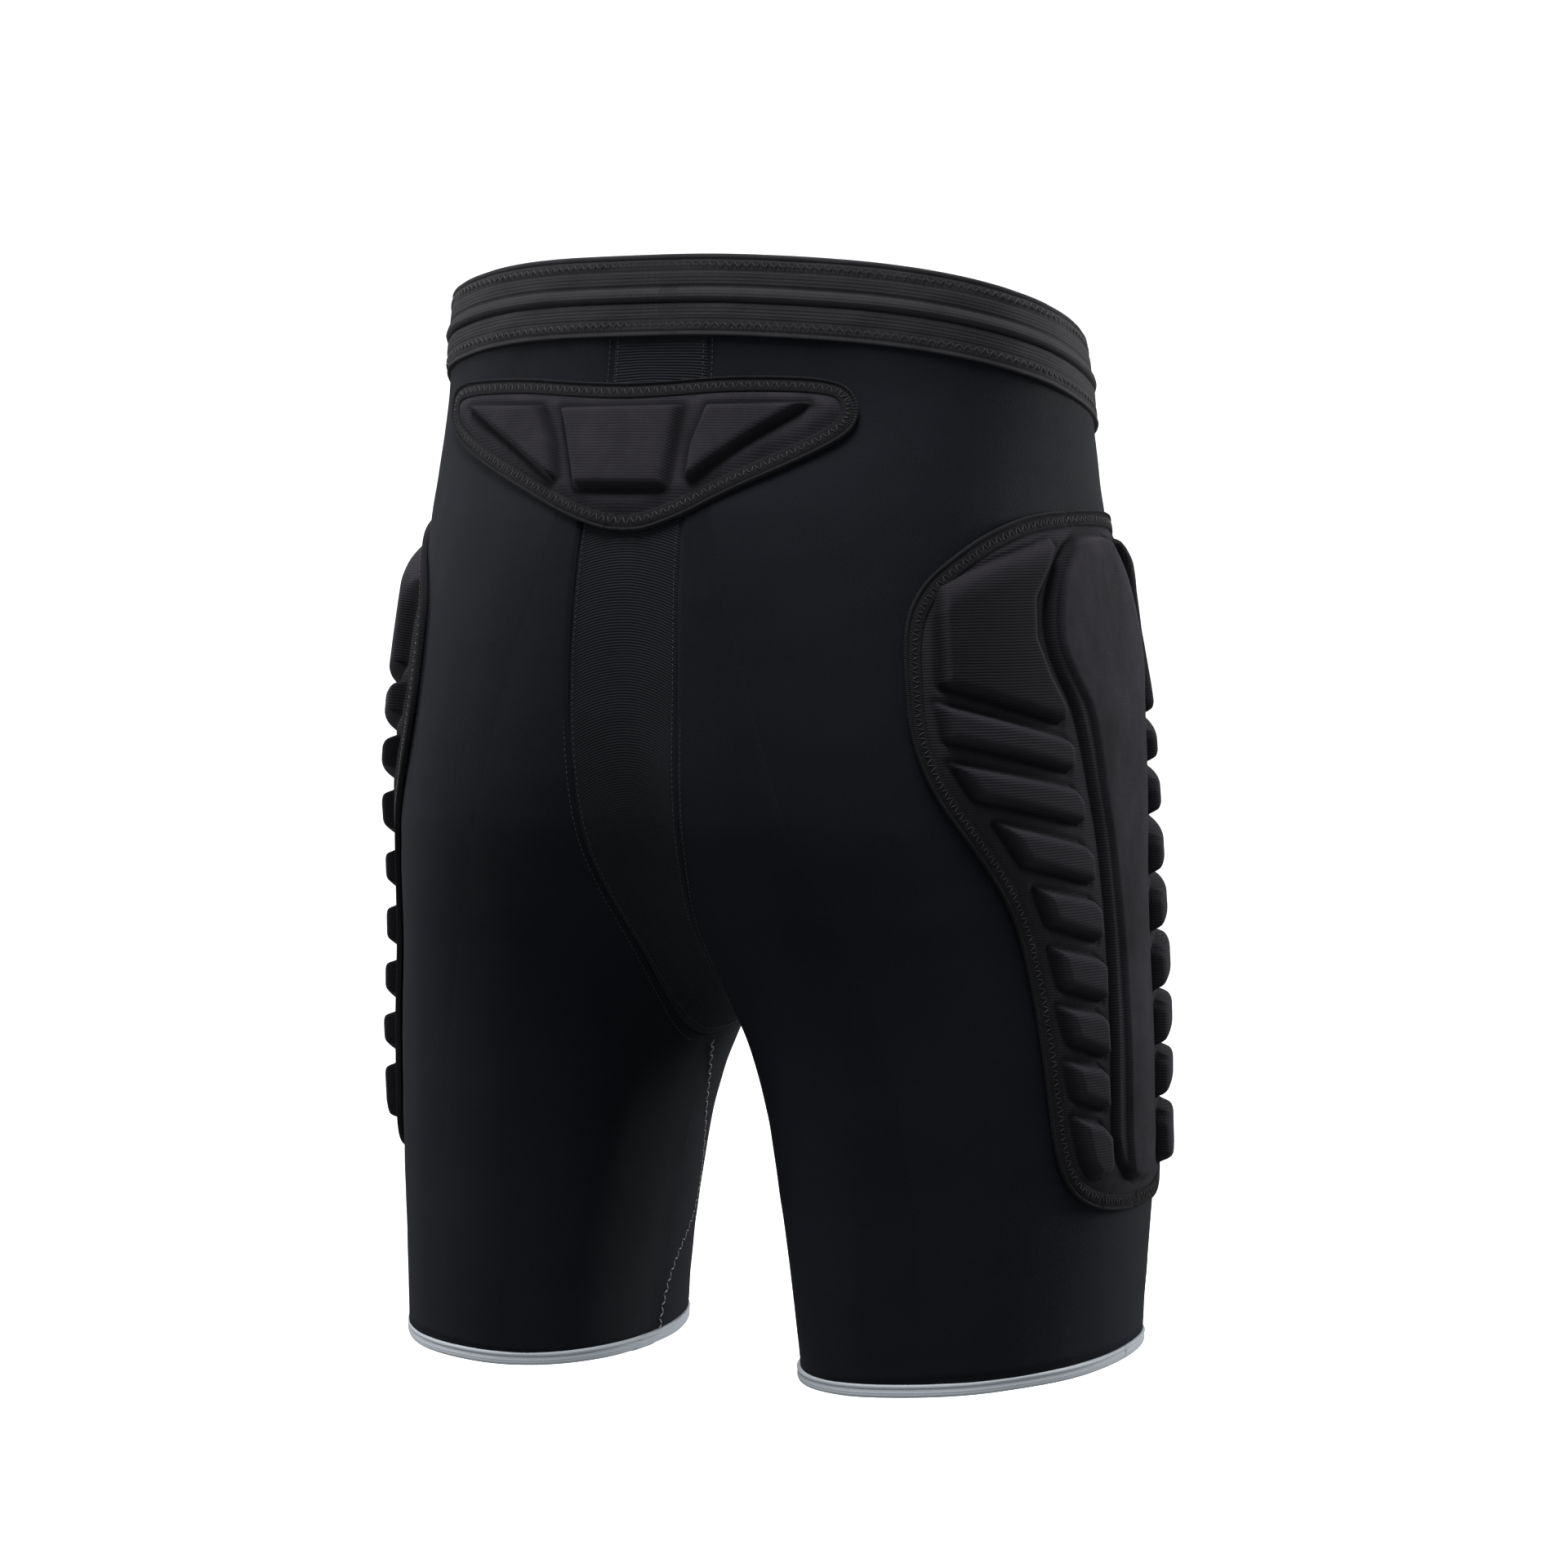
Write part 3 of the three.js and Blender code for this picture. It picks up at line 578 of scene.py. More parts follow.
def wall(name, outer, inner, uv, closed=False):
    """A cloth or foam wall between two grids of places, closed round its rim.

    Only each fourth place of the inner grid is used, because the wearer's side is plain. A closed
    wall joins its last column to its first."""
    step = 4
    rows, columns = outer.shape[:2]
    inner = inner[::step, ::step]
    few_rows, few_columns = inner.shape[:2]
    size = rows * columns
    fine = np.arange(size).reshape(rows, columns)
    few = size + np.arange(few_rows * few_columns).reshape(few_rows, few_columns)
    top = grid_faces(rows, columns, 0, False, closed)
    under = grid_faces(few_rows, few_columns, size, False, closed)[:, ::-1]
    if closed:
        edges = [(np.append(fine[k], fine[k, 0]), np.append(few[k], few[k, 0])) for k in (0, -1)]
    else:
        edges = [(fine[0], few[0]), (fine[-1], few[-1]), (fine[:, 0], few[:, 0]), (fine[:, -1], few[:, -1])]
    turned = [True, False, False, True]
    rims = []
    for (line, sparse), back in zip(edges, turned):
        for k in range(len(sparse) - 1):
            face = [*line[k * step:(k + 1) * step + 1].tolist(), int(sparse[k + 1]), int(sparse[k])]
            rims.append(face[::-1] if back else face)
    points = np.concatenate([outer.reshape(-1, 3), inner.reshape(-1, 3)])
    along = np.concatenate([uv.reshape(-1, 2), uv[::step, ::step].reshape(-1, 2)])
    faces = [*top.tolist(), *under.tolist(), *rims]
    if not faces_out(points, np.concatenate([top, under])):
        faces = [face[::-1] for face in faces]
    return mesh_object(name, points, faces, along)


def mark(piece, name, values):
    """Stores a value for each place of the piece's outer grid, for its finish. The rest keep 0."""
    layer = piece.data.attributes.new(name, "FLOAT", "POINT")
    whole = np.zeros(len(piece.data.vertices), dtype=np.float32)
    whole[:values.size] = values.ravel()
    layer.data.foreach_set("value", whole)


def hoop(name, sections, uv):
    """A closed ring through closed profiles: sections[station, profile point]."""
    stations, size = sections.shape[:2]
    faces = grid_faces(stations, size, 0, True, True)
    if not faces_out(sections, faces):
        faces = faces[:, ::-1]
    return mesh_object(name, sections, faces.tolist(), uv)


def keep(piece, material, slot, *nodes, fill=None):
    """Gives a finished piece its material and fixes it to the frame."""
    piece.data.materials.clear()
    piece.data.materials.append(bpy.data.materials[material])
    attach(piece, BODY)
    if nodes:
        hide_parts(*nodes)
    return piece


# Materials

class Wire:
    """A shader value that adds its Math nodes as it is used in an expression."""

    def __init__(self, tree, socket):
        self.tree = tree
        self.socket = socket

    def _math(self, operation, *values):
        return self.tree.add("ShaderNodeMath", {"operation": operation}, dict(enumerate(values)))

    def __add__(self, other):
        return self._math("ADD", self, other)

    def __sub__(self, other):
        return self._math("SUBTRACT", self, other)

    def __rsub__(self, other):
        return self._math("SUBTRACT", other, self)

    def __mul__(self, other):
        return self._math("MULTIPLY", self, other)

    __radd__ = __add__

    def waves(self, length):
        """A sine of this value that repeats on a length."""
        return self._math("SINE", self * (2 * math.pi / length))

    def clamped(self):
        return self.tree.add("ShaderNodeClamp", {}, {"Value": self})


class Finish:
    """A material under construction."""

    def __init__(self, name):
        self.material = bpy.data.materials.new(name)
        self.material.use_nodes = True
        self.nodes = self.material.node_tree.nodes
        self.links = self.material.node_tree.links
        self.shader = self.nodes["Principled BSDF"]

    def add(self, kind, settings=None, inputs=None, output=0):
        """A node of a kind, with its settings first and then its sockets' values or links."""
        node = self.nodes.new(kind)
        for key, value in (settings or {}).items():
            setattr(node, key, value)
        for key, value in (inputs or {}).items():
            self.feed(node.inputs[key], value)
        return Wire(self, node.outputs[output])

    def feed(self, socket, value):
        if isinstance(value, Wire):
            self.links.new(value.socket, socket)
        else:
            socket.default_value = value

    def shade(self, **inputs):
        for key, value in inputs.items():
            self.feed(self.shader.inputs[key.replace("_", " ")], value)
        return self.material

    def cloth_place(self):
        """The cloth's own coordinates in millimetres: along U and along V."""
        uv = self.add("ShaderNodeUVMap", {"uv_map": "cloth"})
        split = self.add("ShaderNodeSeparateXYZ", {}, {0: uv}).socket.node
        return Wire(self, split.outputs[0]), Wire(self, split.outputs[1])

    def noise(self, scale, detail=2.0, roughness=0.5, stretch=(1.0, 1.0, 1.0)):
        place = self.add("ShaderNodeTexCoord", output=3)
        turned = self.add("ShaderNodeMapping", {}, {"Vector": place, "Scale": stretch})
        sockets = {"Vector": turned, "Scale": scale, "Detail": detail, "Roughness": roughness}
        return self.add("ShaderNodeTexNoise", {}, sockets)

    def mixed(self, first, second, factor):
        """A colour between two, on a factor."""
        sockets = {"Factor": factor, 6: first, 7: second}
        return self.add("ShaderNodeMix", {"data_type": "RGBA"}, sockets, output=2)

    def tint(self, colour, darker, lighter, factor):
        """A colour that goes from darker to lighter on a factor, as shares of the given one."""
        return self.mixed(opaque(colour, darker), opaque(colour, lighter), factor)

    def marked(self, name):
        """A value stored on the piece's places, or 0 where it has none."""
        return self.add("ShaderNodeAttribute", {"attribute_name": name}, output=2)

    def bump(self, height, distance, strength, below=None):
        sockets = {"Height": height, "Distance": distance, "Strength": strength}
        if below is not None:
            sockets["Normal"] = below
        return self.add("ShaderNodeBump", {}, sockets)


def opaque(colour, factor):
    """A colour made darker or lighter, with its alpha."""
    return (*(min(channel * factor, 1.0) for channel in colour), 1.0)


# Noises of the cloth: scale, detail and roughness.
KNIT_CLOUD = (38.0, 3.0, 0.55)
KNIT_GRAIN = (1500.0, 2.0, 0.6)
KNIT_BRUSHED = (55.0, 4.0, 0.6)
WEBBING_CLOUD = (60.0, 3.0, 0.6)
WEBBING_GRAIN = (1800.0, 2.0, 0.6)
THREAD_GRAIN = (2600.0, 1.0)
PAINT_GRAIN = (3.0, 2.0)
# The depth in metres of the finest relief, and the height of a knit's loops over their width.
YARN_DEPTH = 0.00012
CORD_DEPTH = 0.00006
LOOP_HEIGHT = 1.4
# How much lighter the lightest places are than the darkest are darker, and the light of the fuzz
# and the painted shade of creases and block walls as shares of the cloth's colour.
LIGHTER = 1.6
FUZZ = 6
CREASE_SHADE_TONE = 0.25


def knit(name, colour, rib_pitch=0.0, rib_depth=0.0, roughness=0.8, sheen=0.25, loops=0.9, contrast=0.3):
    """A fine knit: rows of loops, ribs across the cloth where it has them, and a little unevenness."""
    finish = Finish(name)
    u, v = finish.cloth_place()
    loop = u.waves(loops) * v.waves(loops * LOOP_HEIGHT)
    cloud = finish.noise(*KNIT_CLOUD)
    grain = finish.noise(*KNIT_GRAIN)
    shade = cloud * 0.55 + grain * 0.3 + loop * 0.08
    normal = finish.bump(loop + grain * 1.4, YARN_DEPTH, 0.6)
    if rib_pitch:
        nap = finish.marked("nap")
        wander = (cloud - 0.5) * 1.2
        rib = (v + wander).waves(rib_pitch) * (1 - nap * 0.85)
        normal = finish.bump(rib, rib_depth, 0.7, normal)
        brushed = finish.noise(*KNIT_BRUSHED, stretch=(1.0, 1.0, 0.6))
        shade = shade + rib * 0.07 + nap * ((brushed - 0.5) * 2.1 + 0.1)
    tone = finish.tint(colour, 1 - contrast, 1 + contrast * LIGHTER, shade.clamped())
    if rib_pitch:
        # Painted shade: the cloth darkens where the piece marks block feet, creases and the hip block's
        # face and wall.
        tone = finish.mixed(tone, opaque(colour, CREASE_SHADE_TONE), finish.marked("painted_shade") * 0.8)
    rough = roughness + (cloud - 0.5) * 0.12
    return finish.shade(
        Base_Color=tone, Roughness=rough.clamped(), Normal=normal, Specular_IOR_Level=0.07,
        Sheen_Weight=sheen, Sheen_Roughness=0.4, Sheen_Tint=opaque(colour, FUZZ))


def webbing(name, colour, pitch, contrast=0.35, roughness=0.75):
    """Woven elastic: cords along the band crossed by fine yarns."""
    finish = Finish(name)
    yarn_pitch = 0.8
    u, v = finish.cloth_place()
    cloud = finish.noise(*WEBBING_CLOUD)
    grain = finish.noise(*WEBBING_GRAIN)
    yarn = u.waves(yarn_pitch)
    cord = (v + (cloud - 0.5) * 0.3).waves(pitch)
    shade = cloud * 0.45 + grain * 0.4 + cord * 0.04 + yarn * 0.05
    normal = finish.bump(yarn * 0.5 + grain * 1.5, YARN_DEPTH, 0.6)
    normal = finish.bump(cord, CORD_DEPTH, 0.5, normal)
    tone = finish.tint(colour, 1 - contrast, 1 + contrast * LIGHTER, shade.clamped())
    rough = roughness + (grain - 0.5) * 0.2
    return finish.shade(
        Base_Color=tone, Roughness=rough.clamped(), Normal=normal, Specular_IOR_Level=0.1,
        Sheen_Weight=0.1, Sheen_Roughness=0.5, Sheen_Tint=opaque(colour, FUZZ))


def thread(name, colour, brightness=1.0):
    """A spun thread with a slight shine."""
    finish = Finish(name)
    grain = finish.noise(*THREAD_GRAIN)
    tone = finish.tint(colour, 0.7 * brightness, 1.4 * brightness, grain)
    rough = grain * 0.2 + 0.55
    return finish.shade(
        Base_Color=tone, Roughness=rough, Normal=finish.bump(grain, 0.0001, 0.5),
        Specular_IOR_Level=0.35, Sheen_Weight=0.2)


def pale_paint(name, shade, glow):
    """The plain pale matt finish of the floor and backdrop, clear from beneath."""
    finish = Finish(name)
    grain = finish.noise(*PAINT_GRAIN)
    tone = finish.tint((shade,) * 3, 0.99, 1.0, grain)
    paint = finish.shade(
        Base_Color=tone, Roughness=0.95, Specular_IOR_Level=0.1,
        Emission_Color=(1.0, 1.0, 1.0, 1.0), Emission_Strength=glow)
    from_below = finish.add("ShaderNodeNewGeometry", output=6)
    clear = finish.add("ShaderNodeBsdfTransparent")
    solid = Wire(finish, finish.shader.outputs[0])
    shown = finish.add("ShaderNodeMixShader", {}, {0: from_below, 1: solid, 2: clear})
    finish.links.new(shown.socket, finish.nodes["Material Output"].inputs[0])
    return paint


# Places on the pads

def side_place(across, z, lift, side):
    """Places on a side pad's layout, set on the body."""
    if side > 0:
        height, forward, up = LEFT_PAD_SHIFT.T
        across = across - np.interp(z, height, forward)
        z = z + np.interp(z, height, up)
    return mirrored(on_body(turn_at_arc(across + SIDE_PAD_CENTRE, z), z, lift), side)


def across_body(x, z, lift, end=1):
    """Places on the back, end 1, or the front, end -1, at a signed distance from the mid-plane."""
    return mirrored(on_body(end * turn_at(z, np.abs(x)), z, lift), np.where(x < 0, -1.0, 1.0))


def back_place(across, z, lift):
    """Places on the back pad's layout, set on the body."""
    lean = BACK_PAD_LEAN
    share = (lean["top_z"] - z) / (lean["top_z"] - lean["low_z"])
    shift = lean["top_shift"] + (lean["low_shift"] - lean["top_shift"]) * share
    return across_body(across + shift, z, lift)


def rounded(outline, rounds):
    """A closed outline with its corners cut again and again, which leaves a smooth curve."""
    points = np.asarray(outline, float)
    for _ in range(rounds):
        after = np.roll(points, -1, axis=0)
        cut = np.stack([0.75 * points + 0.25 * after, 0.25 * points + 0.75 * after], 1)
        points = cut.reshape(-1, 2)
    return points


def evenly(outline, step):
    """A closed outline in even steps."""
    loop = np.concatenate([outline, outline[:1]])
    length = np.concatenate([[0], np.cumsum(np.linalg.norm(np.diff(loop, axis=0), axis=1))])
    at = np.linspace(0, length[-1], int(length[-1] / step), endpoint=False)
    return np.stack([np.interp(at, length, loop[:, k]) for k in range(2)], -1), at


def outset(outline, distance):
    """An anticlockwise outline moved outwards, smoothly past its corners."""
    reach = 3
    run = np.roll(outline, -reach, axis=0) - np.roll(outline, reach, axis=0)
    run /= np.linalg.norm(run, axis=1, keepdims=True)
    return outline + np.asarray(distance)[..., None] * np.stack([run[:, 1], -run[:, 0]], -1)


def depth_inside(u, v, polygon):
    """The distance to a polygon's edge: plus inside, minus outside."""
    corners = np.asarray(polygon, float)
    nearest = np.full(u.shape, np.inf)
    inside = np.zeros(u.shape, bool)
    for (x0, y0), (x1, y1) in zip(corners, np.roll(corners, -1, axis=0)):
        dx, dy = x1 - x0, y1 - y0
        t = np.clip(((u - x0) * dx + (v - y0) * dy) / (dx * dx + dy * dy), 0, 1)
        nearest = np.minimum(nearest, np.hypot(u - x0 - t * dx, v - y0 - t * dy))
        if dy:
            crosses = ((v >= y0) != (v >= y1)) & (u < x0 + (v - y0) * dx / dy)
            inside ^= crosses
    return np.where(inside, nearest, -nearest)


def softened(height):
    """A grid of heights evened out a little, as cloth rounds what it covers."""
    for axis in (0, 1):
        padded = np.pad(height, [(1, 1) if k == axis else (0, 0) for k in (0, 1)], mode="edge")
        before = np.take(padded, range(0, height.shape[axis]), axis)
        after = np.take(padded, range(2, height.shape[axis] + 2), axis)
        height = 0.5 * height + 0.25 * (before + after)
    return height


def risen(depth, name):
    """The share of a form's height that is reached at a distance inside its outline."""
    return smooth(depth, *RISES[name])


def moulded(depth, wall_share=0.76, bevel=3.0):
    """The rise of a moulded block on the distance inside its foot: a steep wall, then a bevel."""
    slope = np.clip((depth - 0.5) / bevel, 0, 1)
    return wall_share * risen(depth, "block_wall") + (1 - wall_share) * slope


def at_foot(depth, reach=1.4):
    """How near a place is to the foot of a block or step, on its outside."""
    return bell(depth + 0.6 * reach, reach)


def base_rise(edge, base):
    """The foam base, thinned where the binding holds it."""
    return base * between(REMAINS["base"], risen(edge, "base"))


def spine_step(table):
    """The outline of a step of the spine, both halves, from its heights and half widths."""
    half = table[:, ::-1]
    return rounded(np.concatenate([half, half[::-1] * [-1, 1]]), 2)


def hip_slopes(across, v, hip_depth):
    """The share of its height that the hip block has under its slant and outer wall, and the painted
    shade on its flat face and on that wall."""
    beyond_block = 20
    beside_block = -3
    below_slant = risen(depth_inside(across, v, HIP_BLOCK_BELOW_SLANT), "slant")
    wall_depth = depth_inside(across, v, HIP_BLOCK_WITHIN_WALL)
    wall_depth = np.where(hip_depth > beside_block, wall_depth, beyond_block)
    share = between(REMAINS["slant"], below_slant)
    share = share * between(REMAINS["hip_wall"], risen(wall_depth, "hip_wall"))
    face = risen(hip_depth, "hip_face") * below_slant * risen(wall_depth, "hip_face_within_wall")
    # Painted shade: a dark band along the outer wall, and a darker flat face.
    foot = bell(wall_depth - HIP_WALL_SHADING["depth"], HIP_WALL_SHADING["width"])
    return share, PAINTED_SHADING["hip_face"] * face + PAINTED_SHADING["hip_wall"] * foot


def side_relief(u, v, settings):
    """The side pad's height over the shell, its painted shade and the smooth nap of its spine."""
    across = np.abs(u)
    edge = depth_inside(u, v, side_outline()[::3])
    ledge_depth = depth_inside(u, v, spine_step(LEDGE))
    plateau_depth = depth_inside(u, v, spine_step(PLATEAU))
    hip_depth = depth_inside(across, v, HIP_BLOCK)
    bar_depth = np.max([depth_inside(across, v, shape) for shape in THIGH_BARS], axis=0)
    block_depth = np.maximum(hip_depth, bar_depth)
    hip_share, hip_shading = hip_slopes(across, v, hip_depth)
    pressed = np.maximum(at_foot(block_depth), at_foot(ledge_depth))
    inside_tape = risen(edge, "inside_tape")
    plateau = PLATEAU_STEP * risen(plateau_depth, "plateau")
    plateau = plateau + (1 - PLATEAU_STEP) * risen(plateau_depth, "plateau_crown")
    level = base_rise(edge, settings.base / MM) - SIDE_PAD_PRESSED * pressed * inside_tape
    level = level + settings.block / MM * moulded(block_depth) * hip_share
    level = level + settings.ledge / MM * risen(ledge_depth, "ledge")
    level = level + settings.plateau / MM * plateau
    beside_tape = risen(hip_depth, "beside_hip") * risen(edge, "beside_tape")
    # Painted shade: dark at the feet of blocks and steps, less so at the tape, on the hip block and at the
    # plateau's foot.
    crease_shading = pressed * between(REMAINS["shading_at_tape"], inside_tape)
    crease_shading = crease_shading * (1 + PAINTED_SHADING["beside_tape"] * beside_tape)
    crease_shading = crease_shading + hip_shading + PAINTED_SHADING["plateau_foot"] * at_foot(plateau_depth)
    return level, np.clip(crease_shading, 0, 1), risen(plateau_depth, "nap")


def back_relief(u, v, settings):
    """The back pad's height over the shell, and its pressed places, which also serve as its painted shade.
    """
    edge = depth_inside(u, v, back_outline())
    shapes = [depth_inside(u, v, CENTRE_BLOCK), depth_inside(np.abs(u), v, WING_BLOCK)]
    block_depth = np.max(shapes, axis=0)
    pressed = at_foot(block_depth, reach=2.0)
    level = base_rise(edge, settings.base / MM + BACK_PAD_EXTRA_BASE) - BACK_PAD_PRESSED * pressed
    blocks = moulded(block_depth, wall_share=0.82, bevel=2.4)
    # The pressed places also go back as the painted shade at the blocks' feet.
    return level + settings.back_block / MM * blocks, pressed


def back_outline():
    low = BACK_PAD_EDGE[:, [0, 2]]
    top = BACK_PAD_EDGE[::-1, [0, 1]]
    flip = np.array([-1, 1])
    loop = np.concatenate([low, top, (top[:-1] * flip)[::-1], (low[1:] * flip)[::-1]])
    return rounded(loop, 2)


def side_outline():
    return rounded(np.concatenate([SIDE_PAD_EDGE[::-1], SIDE_PAD_EDGE * [-1, 1]]), 3)


def pad_wall(name, place, rows_u, rows_v, height):
    """A foam pad from a grid of layout places and the height at each."""
    outer = place(rows_u, rows_v, softened(height))
    inner = place(rows_u, rows_v, np.full(rows_u.shape, PAD_UNDERSIDE))
    return wall(name, outer, inner, np.stack([rows_u, rows_v], -1))


# Geometry Nodes

def plug(tree, socket, value):
    if isinstance(value, bpy.types.NodeSocket):
        tree.links.new(value, socket)
    else:
        socket.default_value = value


def node_of(tree, kind, settings=None, **inputs):
    """Adds a node with its settings and named inputs, and gives its first output."""
    node = tree.nodes.new(kind)
    for key, value in (settings or {}).items():
        setattr(node, key, value)
    for key, value in inputs.items():
        plug(tree, node.inputs[key.replace("_", " ")], value)
    return node.outputs[0]


def math_of(tree, operation, *values):
    """Adds a Math node with its inputs in order, and gives its output."""
    node = tree.nodes.new("ShaderNodeMath")
    node.operation = operation
    for socket, value in zip(node.inputs, values):
        plug(tree, socket, value)
    return node.outputs[0]


def stitch_tree():
    """Lays small threads along a path, leaning to and fro for a zigzag or in line for a run."""
    tree = bpy.data.node_groups.new("stitch_run", "GeometryNodeTree")
    sockets = [
        ("Path", "NodeSocketGeometry", None), ("Pitch", "NodeSocketFloat", 0.002),
        ("Length", "NodeSocketFloat", 0.002), ("Radius", "NodeSocketFloat", 0.0002),
        ("Lean", "NodeSocketFloat", 0.8), ("Thread", "NodeSocketMaterial", None),
    ]
    for name, kind, default in sockets:
        socket = tree.interface.new_socket(name, in_out="INPUT", socket_type=kind)
        if default is not None:
            socket.default_value = default
    tree.interface.new_socket("Stitches", in_out="OUTPUT", socket_type="NodeSocketGeometry")
    given = tree.nodes.new("NodeGroupInput").outputs
    curve = node_of(tree, "GeometryNodeMeshToCurve", Mesh=given["Path"])
    even = node_of(
        tree, "GeometryNodeResampleCurve", {"mode": "LENGTH"}, Curve=curve, Length=given["Pitch"])
    tangent = node_of(tree, "GeometryNodeInputTangent")
    up = node_of(tree, "GeometryNodeInputNamedAttribute", {"data_type": "FLOAT_VECTOR"}, Name="up")
    along = node_of(tree, "FunctionNodeAlignRotationToVector", {"axis": "X"}, Vector=tangent)
    seated = node_of(
        tree, "FunctionNodeAlignRotationToVector", {"axis": "Z", "pivot_axis": "X"},
        Rotation=along, Vector=up)
    parity = math_of(tree, "PINGPONG", node_of(tree, "GeometryNodeInputIndex"), 1.0)
    swing = math_of(tree, "MULTIPLY_ADD", parity, 2.0, -1.0)
    angle = math_of(tree, "MULTIPLY", swing, given["Lean"])
    turn = node_of(tree, "FunctionNodeAxisAngleToRotation", Axis=(0.0, 0.0, 1.0), Angle=angle)
    leaned = node_of(
        tree, "FunctionNodeRotateRotation", {"rotation_space": "LOCAL"},
        Rotation=seated, Rotate_By=turn)
    bead = node_of(tree, "GeometryNodeMeshUVSphere", Segments=6, Rings=5, Radius=1.0)
    half = math_of(tree, "MULTIPLY", given["Length"], 0.5)
    size = node_of(tree, "ShaderNodeCombineXYZ", X=half, Y=given["Radius"], Z=given["Radius"])
    threads = node_of(
        tree, "GeometryNodeInstanceOnPoints", Points=even, Instance=bead, Rotation=leaned, Scale=size)
    real = node_of(tree, "GeometryNodeRealizeInstances", Geometry=threads)
    shaded = node_of(tree, "GeometryNodeSetMaterial", Geometry=real, Material=given["Thread"])
    soft = node_of(tree, "GeometryNodeSetShadeSmooth", Geometry=shaded)
    tree.links.new(soft, tree.nodes.new("NodeGroupOutput").inputs[0])
    return tree


def path_object(name, runs):
    """A mesh of bare paths. Each run is its places, the directions that face out, and whether it closes."""
    points = np.concatenate([run[0] for run in runs]) * MM
    edges = []
    start = 0
    for places, _, closed in runs:
        number = np.arange(start, start + len(places))
        edges += np.stack([number[:-1], number[1:]], -1).tolist()
        if closed:
            edges.append([int(number[-1]), int(number[0])])
        start += len(places)
    mesh = bpy.data.meshes.new(name)
    mesh.from_pydata(points.tolist(), edges, [])
    up = mesh.attributes.new("up", "FLOAT_VECTOR", "POINT")
    up.data.foreach_set("vector", np.concatenate([run[1] for run in runs]).ravel())
    return new_object(name, mesh)


def stitched(name, runs, material, slot, pitch, length, radius, lean=0.0):
    """Threads along paths, made by the stitch tree and turned into a plain mesh.

    Pitch, length and radius are in metres, and the lean is in degrees."""
    tree = bpy.data.node_groups.get("stitch_run") or stitch_tree()
    path = path_object(name + "_path", runs)
    modifier = path.modifiers.new("stitches", "NODES")
    modifier.node_group = tree
    values = {
        "Pitch": pitch, "Length": length, "Radius": radius, "Lean": math.radians(lean),
        "Thread": bpy.data.materials[material],
    }
    for item in tree.interface.items_tree:
        if item.in_out == "INPUT" and item.name in values:
            modifier[item.identifier] = values[item.name]
    bpy.context.view_layer.update()
    evaluated = path.evaluated_get(bpy.context.evaluated_depsgraph_get())
    mesh = bpy.data.meshes.new_from_object(evaluated)
    mesh.name = name
    piece = new_object(name, mesh)
    bpy.data.objects.remove(path)
    return keep(piece, material, slot)


def surface_run(points, closed=False):
    """A path on the garment with the direction that faces out at each place."""
    side = np.where(points[:, 0] < 0, -1, 1)
    return points, mirrored(outward(mirrored(points, side)), side), closed


# Pieces

def shell_wear(points, settings):
    """The lift of the shell at each place: soft ripples, and the pull of the seams."""
    x, _, z = np.moveaxis(points, -1, 0)
    lift = settings.ripple / MM * (ripple(points, "shell_broad") + ripple(points, "shell_fine"))
    seam_end = inner_thigh_height(GUSSET[-1, 1])
    above = smooth(z, seam_end - CROTCH_FADE, seam_end + CROTCH_FADE)
    return lift - settings.seam_dip / MM * bell(x - gusset_half(z), SEAM_WIDTH) * above


def leg_panel(word, settings):
    """A leg panel on the wearer's left or right. Places round its hip are laid out at the end, but nothing
    uses them.
    """
    side = SIDES[word]
    stations, sides, rows = 120, 100, 121
    front = seam_heights(-1, stations)[::-1]
    back = seam_heights(1, stations)
    front_turn = -turn_at(front, gusset_half(front))
    back_turn = turn_at(back, gusset_half(back))
    side_turn = np.linspace(front_turn[-1], back_turn[0], sides + 1)[1:-1]
    side_top = waist_height(lambda z: side_turn, np.full(side_turn.shape, float(SHELL_TOP)))
    turn = np.concatenate([front_turn, side_turn, back_turn[:-1]])
    top = np.concatenate([front, side_top, back[:-1]])
    climb = 1 - (1 - np.linspace(0, 1, rows)) ** ROW_CROWDING
    hem = hem_height(turn)
    z = hem + (top - hem) * climb[:, None]
    turns = np.broadcast_to(turn, z.shape)
    flat = on_body(turns, z)
    lift = shell_wear(flat, settings)
    outer = on_body(turns, z, lift)
    inner = on_body(turns, z, lift - settings.wall / MM)
    around = np.linalg.norm(np.diff(flat, axis=1, prepend=flat[:, :1]), axis=2).cumsum(axis=1)
    panel = wall(f"leg_panel_{word}_cloth", mirrored(outer, side), mirrored(inner, side),
                 np.stack([around, z], -1), closed=True)
    keep(panel, "stretch_knit", "shell_cloth", f"leg_panel_{word}")
    level_count, place_count = 8, 90
    level = np.linspace(*HIP_LEVELS, level_count)[:, None]
    reach = turn_at(level, gusset_half(level))
    hip = on_body(reach * np.linspace(-1, 1, place_count), level)


def gusset_grid(lift_of):
    """Places across and along the gusset, from the back waist to the front waist."""
    stations = 160
    ends = []
    for end in (1, -1):
        seam = seam_heights(end, stations)
        start = waist_height(lambda z: end * turn_at(z, 0.0), SHELL_TOP)
        middle = start + (inner_thigh_height(0.0) - start) * (seam - seam[0]) / (seam[-1] - seam[0])
        half = gusset_half(seam)[:, None]
        face = (half - GUSSET_EDGE) * GUSSET_SHARES
        x = np.concatenate([-half - TONGUE[::-1], face, half + TONGUE], axis=1)
        z = middle[:, None] + (seam - middle)[:, None] * np.minimum(np.abs(x) / half, 1) ** 2
        z = np.maximum(z, inner_thigh_height(np.abs(x)))
        ends.append(across_body(x, z, lift_of(x, z, half), end))
    return np.concatenate([ends[0], ends[1][::-1][1:]])


